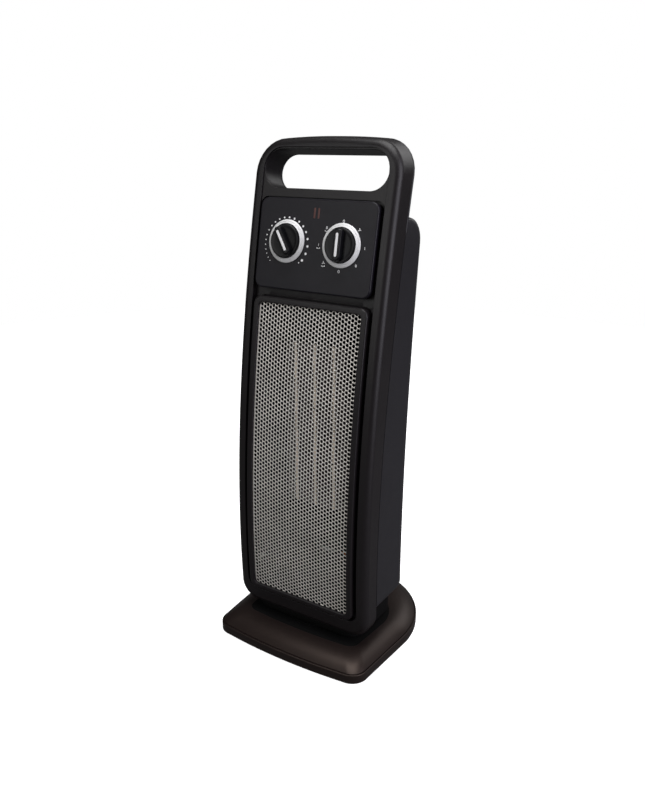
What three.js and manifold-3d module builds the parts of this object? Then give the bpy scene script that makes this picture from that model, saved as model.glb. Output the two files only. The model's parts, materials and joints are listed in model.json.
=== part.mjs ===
// Tower ceramic space heater on an oscillating base.
// Millimetres, +Z up, front towards -Y. The origin is the centre of the footprint, on the floor.

import * as THREE from 'three';
import { mergeVertices } from 'three/addons/utils/BufferGeometryUtils.js';
import Module from 'manifold-3d';

const wasm = await Module();
wasm.setup();

const { PI, sin, cos } = Math;
const { lerp } = THREE.MathUtils;

// ---------------------------------------------------------------- driving dimensions

const GAP = 0.3;                 // left between pieces that would touch
const OVERLAP = 1;               // how far solids that are joined reach into each other
const PAST = 10;                 // how far a cutting tool runs past the faces that it opens

// Tower: its front bows forward. "rise" is the height above the middle of the outlet.
const OUTLET_Z = 200;            // middle of the outlet above the floor
const OUTLET_Y = -56;            // front of the outlet sheet there
const BOW = { lean: 0.073, bend: 3.735e-4, ease: -2.38e-7 };

const TOWER = { half: 76.8, low: 28.4, high: 493.6, cornerLow: 20, cornerHigh: 30, crown: 1.7 };
const SHELL = { edge: 7, wall: 2.4, pocket: 1.5, recess: 6, floor: 2.5, shelf: 3 };
const SHELL_OUTLET = { half: 57, tall: 295, corner: 6 };
const SHELL_CONTROLS = { half: 56, low: 368, high: 429, cornerLow: 6, cornerHigh: 6 };
const POCKET = { half: 65.6, low: 46, high: 484.5, cornerLow: 11, cornerHigh: 19 };
const SEAM = { depth: 21.8, growth: 0.009 };       // front shell's depth, and its growth with rise
const REAR = {
  depth: 84, bow: 0.5, low: 53, top: 425.5, corner: 20, shoulder: 23, pinch: 2, closing: 2.8, skirt: 12,
};
const HANDLE = { half: 64.5, tall: 35.6, rise: 266.6 };

const OUTLET = { half: 55.6, tall: 292.5, corner: 4 };
const SHEET = { half: 57.5, tall: 296.5, corner: 5, thick: 0.8 };
const FRAME = { half: 61.8, tall: 304, corner: 8, edge: 2, proud: 2.7, lip: 2.4, depth: 5.7, play: 0.4 };
const PANEL = { half: 62.2, low: 360, high: 441, corner: 8, proud: 2.7, thick: 2.6, wall: 2, deep: 7.9 };
const INTAKE = { rows: 8, wide: 50, tall: 5, pitch: 14, low: 152, x: 30 };

// Controls, laid out on the panel from its middle.
const DIAL = { x: 29.2, up: 2.5, ringR: 19.35, ringBore: 15.7, ringTall: 3, knobR: 15.2, knobTall: 5 };
const GRIP = { wide: 8.4, long: 28, tall: 9.5 };
const DIAL_SHAFT = { r: 3, top: 7, holeR: 4, socketR: 3.3, socketTop: 7.5 };
const PILOT = { x: 2.2, up: 28.8, wide: 2, tall: 9, proud: 0.5, back: 0.2, lampR: 1.4 };
const REST_ANGLE = { thermostat: 33 * (PI / 180), selector: 0 };

// Base and neck. The tower swings about a vertical axis through the middle of its own depth.
const SWING_Y = -14;
const BASE = {
  front: -93, crown: 595, half: 87, corner: 17, backR: 92, backY: 1,
  foot: 1.2, ease: 0.8, wallTop: 10.5, lip: 2, crease: 11, pillow: 3, top: 20, skin: 2.4,
  flatHalf: 64, hole: 34.2,
};
const NECK = { half: 62, front: -51, back: 27, corner: 16, low: 21.6, step: 27.8, high: 52.6, wall: 2.6 };
const HUB = { r: 33.4, bore: 30.5, low: 15.2 };
const RETAINER = { r: 40, play: 0.5, low: 15.9, high: 17.2 };
const SLIDE = { r: 40, bore: 35 };
const WIRES = { neckR: 6, housingR: 9 };
const CRANK = {
  back: 24, arm: 13.8, low: 9.3, high: 12, pinR: 2.2, pinLow: 7.2, discR: 17.5, shaftR: 3, shaftHoleR: 4.5,
};
const MOTOR = { r: 23, y: 0, low: 24.6, high: 43, earReach: 7, earWide: 9, earThick: 1.4 };

// Blower and heating core, from the front: sheet, core, wheel, rear wall.
const BLOWER = { y: 2, r: 18, low: 100, high: 326, blades: 12 };
const CORE = { y: -25, deep: 10, low: 145.4, high: 310.8, half: 32, pitch: 21.5, barWide: 3 };

// ---------------------------------------------------------------- materials

const finish = (color, roughness, metalness = 0) =>
  new THREE.MeshStandardMaterial({ color, roughness, metalness });

const shellBlack = finish(0x1b1817, 0.42);
const panelBlack = finish(0x1d1e20, 0.5);
const baseBrown = finish(0x2a2220, 0.35);
const knobBlack = finish(0x101011, 0.4);
const innerBlack = finish(0x161616, 0.7);
const silver = finish(0xc9c9c6, 0.3, 0.9);
const sheetSteel = finish(0xa8a5a0, 0.4, 0.9);
const steel = finish(0x9a9a98, 0.35, 1);
const zinc = finish(0xb4b2ac, 0.4, 1);
const aluminium = finish(0xd2d0cb, 0.35, 1);
const ceramic = finish(0xe6d3c6, 0.8);
const copper = finish(0xb8683c, 0.4, 1);
const rubber = finish(0x151515, 0.9);
const lensRed = finish(0x5c100c, 0.25);
const glass = finish(0xe8d8c8, 0.1);
const nylon = finish(0xd9d6cc, 0.5);

// ---------------------------------------------------------------- solids

function solid(geometry) {
  const bare = geometry.clone();
  bare.deleteAttribute('normal');
  bare.deleteAttribute('uv');
  const merged = mergeVertices(bare, 1e-4);
  const mesh = new wasm.Mesh({
    numProp: 3,
    vertProperties: new Float32Array(merged.attributes.position.array),
    triVerts: new Uint32Array(merged.index.array),
  });
  return new wasm.Manifold(mesh);
}

function geometryOf(manifold) {
  const mesh = manifold.getMesh();
  const geometry = new THREE.BufferGeometry();
  geometry.setAttribute('position', new THREE.BufferAttribute(new Float32Array(mesh.vertProperties), 3));
  geometry.setIndex(new THREE.BufferAttribute(new Uint32Array(mesh.triVerts), 1));
  const flat = geometry.toNonIndexed();
  flat.computeVertexNormals();
  return flat;
}

function cut(body, ...tools) {
  return geometryOf(tools.reduce((left, tool) => left.subtract(solid(tool)), solid(body)));
}

function join(...bodies) {
  return geometryOf(bodies.slice(1).reduce((whole, body) => whole.add(solid(body)), solid(bodies[0])));
}

// A closed surface through rings of points. Each ring has the same number of points and runs the
// same way round; capStart and capEnd list triangles of ring indices, and a loop needs no caps.
function loft(rings, { caps = null, loop = false, flip = false } = {}) {
  const count = rings[0].length;
  const positions = rings.flat().flatMap((p) => [p.x, p.y, p.z]);
  const index = [];
  const last = loop ? rings.length : rings.length - 1;
  for (let k = 0; k < last; k += 1) {
    const here = k * count;
    const next = ((k + 1) % rings.length) * count;
    for (let j = 0; j < count; j += 1) {
      const side = (j + 1) % count;
      index.push(here + j, next + j, next + side, here + j, next + side, here + side);
    }
  }
  if (caps) {
    const end = (rings.length - 1) * count;
    caps.forEach(([a, b, c]) => index.push(a, b, c, end + a, end + c, end + b));
  }
  if (flip) index.reverse();
  const geometry = new THREE.BufferGeometry();
  geometry.setAttribute('position', new THREE.Float32BufferAttribute(positions, 3));
  geometry.setIndex(index);
  geometry.computeVertexNormals();
  return geometry;
}

function box(wide, deep, tall, x, y, z) {
  return new THREE.BoxGeometry(wide, deep, tall).translate(x, y, z);
}

// An upright rod between two heights.
function rod(radius, low, high, x = 0, y = 0, sides = 18) {
  const rodGeometry = new THREE.CylinderGeometry(radius, radius, high - low, sides);
  return rodGeometry.rotateX(PI / 2).translate(x, y, (low + high) / 2);
}

// A rod along Y between two positions.
function levelRod(radius, front, back, x, z, sides = 12) {
  return new THREE.CylinderGeometry(radius, radius, back - front, sides).translate(x, (front + back) / 2, z);
}

// An upright turned piece: the profile lists [radius, height] and closes on itself or on the axis.
function turned(profile, sides = 28) {
  const points = profile.map(([r, z]) => new THREE.Vector2(r, z));
  return new THREE.LatheGeometry(points, sides).rotateX(PI / 2);
}

function ring(outer, inner, low, high, sides = 28) {
  return turned([[inner, low], [outer, low], [outer, high], [inner, high], [inner, low]], sides);
}

function roundedRect(wide, tall, radius) {
  const [x, y] = [wide / 2, tall / 2];
  const shape = new THREE.Shape();
  shape.moveTo(-x + radius, -y);
  shape.lineTo(x - radius, -y);
  shape.absarc(x - radius, -y + radius, radius, -PI / 2, 0);
  shape.absarc(x - radius, y - radius, radius, 0, PI / 2);
  shape.absarc(-x + radius, y - radius, radius, PI / 2, PI);
  shape.absarc(-x + radius, -y + radius, radius, PI, 1.5 * PI);
  return shape;
}

// A rounded rectangle with half-round ends. The hair keeps its straight ends from vanishing.
function stadium(wide, tall) {
  const hair = 0.01;
  return roundedRect(wide, tall, Math.min(wide, tall) / 2 - hair);
}

function prism(shape, depth, curveSegments = 4) {
  return new THREE.ExtrudeGeometry(shape, { depth, bevelEnabled: false, curveSegments });
}

// ---------------------------------------------------------------- the bowed front

function bow(z) {
  const rise = z - OUTLET_Z;
  return OUTLET_Y + rise * (BOW.lean + rise * (BOW.bend + rise * BOW.ease));
}

function leanAt(z) {
  const rise = z - OUTLET_Z;
  return Math.atan(BOW.lean + rise * (2 * BOW.bend + 3 * rise * BOW.ease));
}

const seamDepth = (z) => SEAM.depth + SEAM.growth * (z - OUTLET_Z);
const rearBack = (z) => OUTLET_Y + REAR.depth + REAR.bow * (bow(z) - OUTLET_Y);

// Right half of an upright rounded rectangle, from its bottom edge to its top edge, whose middle
// stands higher than its corners by the crown.
function halfOutline({ half, low, high, cornerLow, cornerHigh, crown = 0, inset = 0 }) {
  const arcSteps = 4;
  const sideSteps = Math.max(1, Math.round((high - low) / 45));
  const [rLow, rHigh] = [Math.max(cornerLow - inset, 0.5), Math.max(cornerHigh - inset, 0.5)];
  const [x, bottom, top] = [half - inset, low + inset, high - inset - crown];
  const points = [];
  for (let i = 0; i <= arcSteps; i += 1) {
    const a = (i / arcSteps - 1) * (PI / 2);
    points.push([x - rLow + rLow * cos(a), bottom + rLow + rLow * sin(a)]);
  }
  for (let i = 1; i < sideSteps; i += 1) {
    points.push([x, lerp(bottom + rLow, top - rHigh, i / sideSteps)]);
  }
  for (let i = 0; i <= arcSteps; i += 1) {
    const a = (i / arcSteps) * (PI / 2);
    points.push([x - rHigh + rHigh * cos(a), top - rHigh + rHigh * sin(a)]);
  }
  const crownShares = crown > 0 ? [0.7, 0.25] : [];
  crownShares.forEach((share) => points.push([share * (x - rHigh), top + crown * (1 - share ** 2)]));
  return points;
}

// A rounded rectangle seen from the front that follows the bow. front and back are depths behind
// the outlet sheet's face: a number, or a function of height. edge rounds the front edge.
function bowedSlab({ front, back, edge = 0, ...outline }) {
  const depthAt = (depth, z) => (typeof depth === 'function' ? depth(z) : depth);
  const ringAt = (inset, depth) => {
    const right = halfOutline({ ...outline, inset });
    const left = [...right].reverse().map(([x, z]) => [-x, z]);
    return [...right, ...left].map(([x, z]) => new THREE.Vector3(x, bow(z) + depthAt(depth, z), z));
  };
  const rings = [];
  const edgeSteps = edge > 0 ? 2 : 0;
  for (let k = 0; k < edgeSteps; k += 1) {
    const a = (k / edgeSteps) * (PI / 2);
    rings.push(ringAt(edge * (1 - sin(a)), front + edge * (1 - cos(a))));
  }
  rings.push(ringAt(0, edge > 0 ? front + edge : front), ringAt(0, back));
  const count = rings[0].length;
  const caps = [];
  for (let i = 0; i < count / 2 - 1; i += 1) {
    const [left, leftUp] = [count - 1 - i, count - 2 - i];
    caps.push([left, i, i + 1], [left, i + 1, leftUp]);
  }
  return loft(rings, { caps });
}

const outlineOf = ({ half, tall, corner }) => ({
  half,
  low: OUTLET_Z - tall / 2,
  high: OUTLET_Z + tall / 2,
  cornerLow: corner,
  cornerHigh: corner,
});

// ---------------------------------------------------------------- scene graph

const heater = new THREE.Group();
const base = new THREE.Group();
const tower = new THREE.Group();
const dials = new THREE.Group();
heater.add(base, tower);
tower.add(dials);

function place(parent, name, geometry, material, x = 0, y = 0, z = 0) {
  const mesh = new THREE.Mesh(geometry, material);
  mesh.name = name;
  mesh.position.set(x, y, z);
  parent.add(mesh);
  return mesh;
}

// ---------------------------------------------------------------- tower casings

const THROUGH = { front: -12, back: 60 };       // depths past both faces of the front shell
const SQUARE = 1;                               // corner radius where a cut needs no rounding
const sides = [-1, 1];
const HOUSING_SCREWS = [72, 398].flatMap((z) => sides.map((side) => [side * 62, z]));
const SCREW = {
  shankR: 1.7, bore: 2, headR: 3.6, headTall: 2.4, headBore: 4, pillar: 5, boss: 6, seat: 6, blind: 2,
  reach: 15, crossLong: 4.4, crossWide: 1.1, crossDeep: 1.5,
};

// The finger opening: a stadium through the shells, square to the bowed front.
function handleOpening() {
  const z = OUTLET_Z + HANDLE.rise;
  const reach = THROUGH.back - THROUGH.front;
  const through = prism(stadium(2 * HANDLE.half, HANDLE.tall), reach).translate(0, 0, -THROUGH.back);
  return through.rotateX(PI / 2 - leanAt(z)).translate(0, bow(z), z);
}

function frontShell() {
  const outer = bowedSlab({ ...TOWER, front: 0, back: seamDepth, edge: SHELL.edge });
  const pocket = bowedSlab({ ...POCKET, front: THROUGH.front, back: SHELL.pocket });
  const recess = bowedSlab({
    ...POCKET, high: PANEL.high + 2 * GAP, cornerHigh: PANEL.corner, front: THROUGH.front, back: SHELL.recess,
  });
  const floorBack = SHELL.recess + SHELL.floor;
  const hollow = { half: TOWER.half - SHELL.wall, front: floorBack };
  const cavity = bowedSlab({
    ...hollow,
    low: REAR.low + OVERLAP,
    high: PANEL.high - SHELL.shelf,
    cornerLow: SQUARE,
    cornerHigh: PANEL.corner,
    back: THROUGH.back,
  });
  const toe = bowedSlab({
    ...hollow,
    low: TOWER.low + SHELL.wall,
    high: REAR.low + TOWER.cornerLow,
    cornerLow: TOWER.cornerLow - SHELL.wall,
    cornerHigh: SQUARE,
    back: (z) => seamDepth(z) - SHELL.wall,
  });
  const outlet = bowedSlab({ ...outlineOf(SHELL_OUTLET), ...THROUGH });
  const controls = bowedSlab({ ...SHELL_CONTROLS, ...THROUGH });
  const pillars = HOUSING_SCREWS.map(([x, z]) =>
    levelRod(SCREW.pillar, bow(z) + floorBack - OVERLAP, bow(z) + seamDepth(z) - OVERLAP, x, z));
  const bores = HOUSING_SCREWS.map(([x, z]) =>
    levelRod(SCREW.bore, bow(z) + floorBack + SCREW.blind, bow(z) + THROUGH.back, x, z));
  const shell = cut(outer, pocket, recess, cavity, toe, outlet, controls);
  return cut(join(shell, ...pillars), handleOpening(), ...bores);
}

// The rear half at one height: half-width, where it starts behind the seam, and its back.
function rearRing(z, half, startY, backY, corner) {
  const arcSteps = 4;
  const right = [[half, startY]];
  for (let i = 0; i <= arcSteps; i += 1) {
    const a = (i / arcSteps) * (PI / 2);
    right.push([half - corner + corner * cos(a), backY - corner + corner * sin(a)]);
  }
  const left = [...right].reverse().map(([x, y]) => [-x, y]);
  return [...right, ...left].map(([x, y]) => new THREE.Vector3(x, y, z));
}

// The rear tub as a loft over height, closing over a rounded shoulder at the top.
function rearTub(inset, startY) {
  const low = REAR.low + inset;
  const shoulder = REAR.shoulder - inset;
  const wallTop = REAR.top - REAR.shoulder;
  const wallSteps = 7;
  const shoulderSteps = 4;
  const rings = [];
  for (let i = 0; i <= wallSteps; i += 1) {
    const z = lerp(low, wallTop, i / wallSteps);
    rings.push(rearRing(z, TOWER.half - inset, startY(z), rearBack(z) - inset, REAR.corner - inset));
  }
  for (let i = 1; i <= shoulderSteps; i += 1) {
    const a = (i / shoulderSteps) * (PI / 2);
    const z = wallTop + shoulder * sin(a);
    const back = rearBack(z) - inset - shoulder * (1 - cos(a));
    const half = TOWER.half - inset - REAR.pinch * (1 - cos(a));
    rings.push(rearRing(z, half, startY(z), back, REAR.corner - inset));
  }
  const count = rings[0].length;
  const caps = [];
  for (let i = 0; i < count / 2 - 1; i += 1) {
    const [left, leftBack] = [count - 1 - i, count - 2 - i];
    caps.push([i, leftBack, left], [i, i + 1, leftBack]);
  }
  return loft(rings, { caps, flip: true });
}

function rearHousing() {
  const behindSeam = (z) => bow(z) + seamDepth(z) + GAP;
  const outer = rearTub(0, behindSeam);
  const cavity = rearTub(SHELL.wall, (z) => behindSeam(z) - PAST);
  const closing = bowedSlab({
    half: TOWER.half,
    low: REAR.top - REAR.skirt,
    high: TOWER.high,
    cornerLow: SQUARE,
    cornerHigh: TOWER.cornerHigh,
    crown: TOWER.crown,
    front: (z) => seamDepth(z) + GAP,
    back: (z) => seamDepth(z) + GAP + REAR.closing,
  });
  const bosses = HOUSING_SCREWS.map(([x, z]) =>
    levelRod(SCREW.boss, behindSeam(z) + GAP, rearBack(z) - OVERLAP, x, z));
  const seats = HOUSING_SCREWS.map(([x, z]) =>
    levelRod(SCREW.headBore, behindSeam(z) + SCREW.seat, rearBack(z) + PAST, x, z));
  const bores = HOUSING_SCREWS.map(([x, z]) =>
    levelRod(SCREW.bore, behindSeam(z) - PAST, rearBack(z), x, z));
  const slots = [];
  for (let row = 0; row < INTAKE.rows; row += 1) {
    const z = INTAKE.low + row * INTAKE.pitch;
    sides.forEach((side) =>
      slots.push(box(INTAKE.wide, 2 * PAST, INTAKE.tall, side * INTAKE.x, rearBack(z), z)));
  }
  const wires = rod(WIRES.housingR, REAR.low - PAST, REAR.low + PAST, 0, SWING_Y, 20);
  const tub = join(cut(outer, cavity), closing, ...bosses);
  return cut(tub, handleOpening(), wires, ...seats, ...bores, ...slots);
}

function housingScrew(x, z) {
  const seatY = bow(z) + seamDepth(z) + GAP + SCREW.seat;
  const headY = seatY + GAP;
  const head = levelRod(SCREW.headR, headY, headY + SCREW.headTall, x, z);
  const shank = levelRod(SCREW.shankR, headY - SCREW.reach, headY + OVERLAP, x, z);
  const { crossLong: long, crossWide: wide, crossDeep: deep } = SCREW;
  const arms = [[wide, long], [long, wide]].map(([across, up]) =>
    box(across, 2 * deep, up, x, headY + SCREW.headTall, z));
  return cut(join(head, shank), ...arms);
}

place(tower, 'front_shell', frontShell(), shellBlack);
place(tower, 'rear_housing', rearHousing(), shellBlack);
HOUSING_SCREWS.forEach(([x, z], i) => place(tower, `housing_screw_${i + 1}`, housingScrew(x, z), zinc));

// ---------------------------------------------------------------- outlet

function grilleFrame() {
  const outer = bowedSlab({ ...outlineOf(FRAME), front: -FRAME.proud, back: FRAME.depth, edge: FRAME.edge });
  const opening = bowedSlab({ ...outlineOf(OUTLET), ...THROUGH });
  const rebate = bowedSlab({
    ...outlineOf({ half: SHEET.half + FRAME.play, tall: SHEET.tall + 2 * FRAME.play, corner: SHEET.corner }),
    front: FRAME.lip - FRAME.proud,
    back: THROUGH.back,
  });
  return cut(outer, opening, rebate);
}

function outletSheet() {
  return bowedSlab({ ...outlineOf(SHEET), front: 0, back: SHEET.thick });
}

place(tower, 'grille_frame', grilleFrame(), shellBlack);
place(tower, 'outlet_grille', outletSheet(), sheetSteel);

// ---------------------------------------------------------------- control panel and dials

// The dials group stands on the panel's face: x to the right, y up the panel, z out of it.
const panelZ = (PANEL.low + PANEL.high) / 2;
dials.position.set(0, bow(panelZ) - PANEL.proud, panelZ);
dials.rotation.x = PI / 2 - leanAt(panelZ);

function controlPanel() {
  const { half, corner, thick, wall, deep } = PANEL;
  const tall = (PANEL.high - PANEL.low) / cos(leanAt(panelZ));
  const plate = prism(roundedRect(2 * half, tall, corner), deep).translate(0, 0, -deep);
  const inner = roundedRect(2 * (half - wall), tall - 2 * wall, corner - wall);
  const hollow = prism(inner, deep).translate(0, 0, -deep - thick);
  const holes = sides.map((side) => rod(DIAL_SHAFT.holeR, -PAST, PAST, side * DIAL.x, DIAL.up));
  const slots = sides.map((side) =>
    box(PILOT.wide + 2 * GAP, PILOT.tall + 2 * GAP, 2 * PAST, side * PILOT.x, PILOT.up, 0));
  return cut(plate, hollow, ...holes, ...slots);
}

function dialRing() {
  const { ringR, ringBore, ringTall } = DIAL;
  const [rim, lip] = [1.2, 0.8];
  return turned([
    [ringBore, GAP], [ringR, GAP], [ringR, rim], [ringBore + lip, ringTall], [ringBore, ringTall],
    [ringBore, GAP],
  ]);
}

function knob() {
  const [foot, edge] = [0.4, 1];
  const { knobR, knobTall } = DIAL;
  const disc = turned([
    [0, foot], [knobR, foot], [knobR, knobTall - edge], [knobR - edge, knobTall], [0, knobTall],
  ], 24);
  const gripFoot = foot + OVERLAP;
  const grip = prism(stadium(GRIP.wide, GRIP.long), GRIP.tall - gripFoot).translate(0, 0, gripFoot);
  return cut(join(disc, grip), rod(DIAL_SHAFT.socketR, -OVERLAP, DIAL_SHAFT.socketTop));
}

const CONTROLS = [
  { name: 'thermostat', side: -1, angle: REST_ANGLE.thermostat, unit: [30, 30, 17] },
  { name: 'selector', side: 1, angle: REST_ANGLE.selector, unit: [28, 28, 21] },
];

place(dials, 'control_panel', controlPanel(), panelBlack);
CONTROLS.forEach(({ name, side, angle, unit: [wide, tall, deep] }) => {
  const x = side * DIAL.x;
  place(dials, `${name}_ring`, dialRing(), silver, x, DIAL.up);
  place(dials, `${name}_knob`, knob(), knobBlack, x, DIAL.up).rotation.z = angle;
  const unitTop = -PANEL.thick - 2 * GAP;
  place(dials, `${name}_shaft`, rod(DIAL_SHAFT.r, unitTop + GAP, DIAL_SHAFT.top), zinc, x, DIAL.up);
  place(dials, `${name}_unit`, box(wide, tall, deep, 0, 0, unitTop - deep / 2), innerBlack, x, DIAL.up);
});
sides.forEach((side) => {
  const name = side < 0 ? 'left' : 'right';
  const x = side * PILOT.x;
  const lensBack = -PANEL.thick - PILOT.back;
  const lens = box(PILOT.wide, PILOT.tall, PILOT.proud - lensBack, 0, 0, (PILOT.proud + lensBack) / 2);
  place(dials, `pilot_lens_${name}`, lens, lensRed, x, PILOT.up);
  const lamp = new THREE.CylinderGeometry(PILOT.lampR, PILOT.lampR, PILOT.tall, 12);
  place(dials, `pilot_lamp_${name}`, lamp, glass, x, PILOT.up, lensBack - PILOT.lampR - 2 * GAP);
});

// ---------------------------------------------------------------- heating core

const CORE_END = { tall: 10, side: 3, rim: 2 };
const CUTOUT = { r: 8, tall: 6, x: 20 };
const FIN = { thick: 1.2, turns: 9 };

// A serpentine of level strips between two sides, joined at alternate ends.
function finPack(left, right) {
  const pitch = (CORE.high - CORE.low - FIN.thick) / FIN.turns;
  const [wide, middle] = [right - left, (left + right) / 2];
  const pieces = [];
  for (let i = 0; i <= FIN.turns; i += 1) {
    const z = CORE.low + FIN.thick / 2 + i * pitch;
    pieces.push(box(wide, CORE.deep, FIN.thick, middle, CORE.y, z));
    if (i < FIN.turns) {
      const x = middle + ((i % 2 ? 1 : -1) * (wide - FIN.thick)) / 2;
      pieces.push(box(FIN.thick, CORE.deep, pitch, x, CORE.y, z + pitch / 2));
    }
  }
  return join(...pieces);
}

function heaterEnd(z) {
  const wide = 2 * (CORE.half + CORE_END.side);
  return box(wide, CORE.deep + 2 * CORE_END.rim, CORE_END.tall, 0, CORE.y, z);
}

// Across the core: a narrow fin pack, then bars and wide packs in turn, then a narrow pack again.
const barXs = [-CORE.pitch, 0, CORE.pitch];
const packLefts = [-CORE.half, ...barXs.map((x) => x + CORE.barWide / 2 + GAP)];
const packRights = [...barXs.map((x) => x - CORE.barWide / 2 - GAP), CORE.half];
packLefts.forEach((left, i) =>
  place(tower, `fin_pack_${i + 1}`, finPack(left, packRights[i]), aluminium));
barXs.forEach((x, i) => {
  const bar = box(CORE.barWide, CORE.deep, CORE.high - CORE.low, x, CORE.y, (CORE.low + CORE.high) / 2);
  place(tower, `ceramic_bar_${i + 1}`, bar, ceramic);
});
place(tower, 'heater_end_lower', heaterEnd(CORE.low - CORE_END.tall / 2 - GAP), innerBlack);
place(tower, 'heater_end_upper', heaterEnd(CORE.high + CORE_END.tall / 2 + GAP), innerBlack);
const cutoutLow = CORE.high + CORE_END.tall + 2 * GAP;
const cutout = rod(CUTOUT.r, cutoutLow, cutoutLow + CUTOUT.tall, CUTOUT.x, CORE.y, 20);
place(tower, 'thermal_cutout', cutout, zinc);

// ---------------------------------------------------------------- blower

const WHEEL = { disc: 1.6, vane: 1.2, chord: 6.5, setting: 0.6, inset: 4.2, hubR: 6, hubUp: 9, hubDown: 2 };
const SPINDLE = { r: 2, bore: 2.06, socket: 8, grip: 7, pivot: 9 };
const ROTOR = { r: 11.4, bore: 12, low: 62, tall: 24, tail: 3 };
const STACK = { wide: 56, deep: 34, x: 6, low: 64, high: 84, limb: 10, window: 8, windowDeep: 18 };
const COIL = { wide: 24, deep: 16, tall: 32 };
const BRACKET = { wide: 94, deep: 30, thick: 1.5, top: 92.25, leg: 35, holeR: 5 };
const BEARING = { r: 7, tall: 6 };
const SCROLL = { thick: 1.4, start: -50 * (PI / 180), sweep: 125 * (PI / 180), wide: 23.5, close: 1.2 };
const TONGUE = { wide: 14, x: -29, y: -13 };
const TERMINALS = { wide: 30, deep: 12, tall: 14, x: -30, y: 4, z: 352 };

function blowerWheel() {
  const { low, high, r, blades } = BLOWER;
  const middle = (low + high) / 2;
  const discs = [low, middle, high - WHEEL.disc].map((z) => rod(r, z, z + WHEEL.disc, 0, 0, 24));
  const vanes = [];
  for (let i = 0; i < blades; i += 1) {
    const vane = box(WHEEL.vane, WHEEL.chord, high - low - OVERLAP, 0, 0, middle);
    vane.rotateZ(WHEEL.setting).translate(0, r - WHEEL.inset, 0).rotateZ((i / blades) * 2 * PI);
    vanes.push(vane);
  }
  const hub = rod(WHEEL.hubR, low - WHEEL.hubDown, low + WHEEL.hubUp);
  const pivot = rod(SPINDLE.r, high - OVERLAP, high + SPINDLE.pivot);
  return cut(join(...discs, ...vanes, hub, pivot), rod(SPINDLE.bore, low - PAST, low + SPINDLE.socket));
}

function motorRotor() {
  const drum = rod(ROTOR.r, ROTOR.low, ROTOR.low + ROTOR.tall);
  return join(drum, rod(SPINDLE.r, ROTOR.low - ROTOR.tail, BLOWER.low + SPINDLE.grip));
}

// The laminated stack: the rotor turns in its bore, and the coil sits round the limb at its end.
const limbX = STACK.x + (STACK.wide - STACK.limb) / 2;
const stackZ = (STACK.low + STACK.high) / 2;

function fanMotor() {
  const stack = box(STACK.wide, STACK.deep, STACK.high - STACK.low, STACK.x, 0, stackZ);
  const windowX = limbX - (STACK.limb + STACK.window) / 2;
  const window = box(STACK.window, STACK.windowDeep, 4 * PAST, windowX, 0, stackZ);
  return cut(stack, rod(ROTOR.bore, STACK.low - PAST, STACK.high + PAST, 0, 0, 24), window);
}

function motorCoil() {
  const winding = box(COIL.wide, COIL.deep, COIL.tall, limbX, 0, stackZ);
  const limb = box(STACK.limb + 2 * GAP, STACK.deep, STACK.high - STACK.low + 2 * GAP, limbX, 0, stackZ);
  return cut(winding, limb);
}

function motorBracket() {
  const { wide, deep, thick, top, leg, holeR } = BRACKET;
  const plate = box(wide, deep, thick, 0, 0, top - thick / 2);
  const legs = sides.map((side) => box(thick, deep, leg, side * (wide - thick) / 2, 0, top - leg / 2));
  return cut(join(plate, ...legs), rod(holeR, top - PAST, top + PAST));
}

// The scroll wall: a spiral round one side of the wheel, drawn in plan.
function scrollWall() {
  const steps = 10;
  const spiral = (i, extra) => {
    const a = SCROLL.start + (i / steps) * SCROLL.sweep;
    const r = lerp(SCROLL.wide, BLOWER.r + SCROLL.close, i / steps) + extra;
    return new THREE.Vector2(r * cos(a), r * sin(a));
  };
  const points = [];
  for (let i = 0; i <= steps; i += 1) points.push(spiral(i, SCROLL.thick));
  for (let i = steps; i >= 0; i -= 1) points.push(spiral(i, 0));
  return prism(new THREE.Shape(points), BLOWER.high - BLOWER.low).translate(0, 0, BLOWER.low);
}

function ductTongue() {
  const { low, high } = BLOWER;
  return box(TONGUE.wide, SCROLL.thick, high - low, TONGUE.x, TONGUE.y, (low + high) / 2);
}

function upperBearing() {
  const low = BLOWER.high + OVERLAP;
  return ring(BEARING.r, SPINDLE.bore, low, low + BEARING.tall, 24);
}

const blowerGroup = new THREE.Group();
blowerGroup.position.y = BLOWER.y;
tower.add(blowerGroup);
place(blowerGroup, 'blower_wheel', blowerWheel(), innerBlack);
place(blowerGroup, 'motor_rotor', motorRotor(), steel);
place(blowerGroup, 'fan_motor', fanMotor(), steel);
place(blowerGroup, 'motor_coil', motorCoil(), copper);
place(blowerGroup, 'motor_bracket', motorBracket(), zinc);
place(blowerGroup, 'upper_bearing', upperBearing(), rubber);
place(blowerGroup, 'duct_scroll', scrollWall(), zinc);
place(blowerGroup, 'duct_tongue', ductTongue(), zinc);
const terminals = box(TERMINALS.wide, TERMINALS.deep, TERMINALS.tall, TERMINALS.x, TERMINALS.y, TERMINALS.z);
place(tower, 'terminal_block', terminals, nylon);

// ---------------------------------------------------------------- neck

function neckOutline(front, inset = 0) {
  const wide = 2 * (NECK.half - inset);
  const deep = NECK.back - front - 2 * inset;
  return { shape: roundedRect(wide, deep, NECK.corner - inset), y: (NECK.back + front) / 2 };
}

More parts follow.
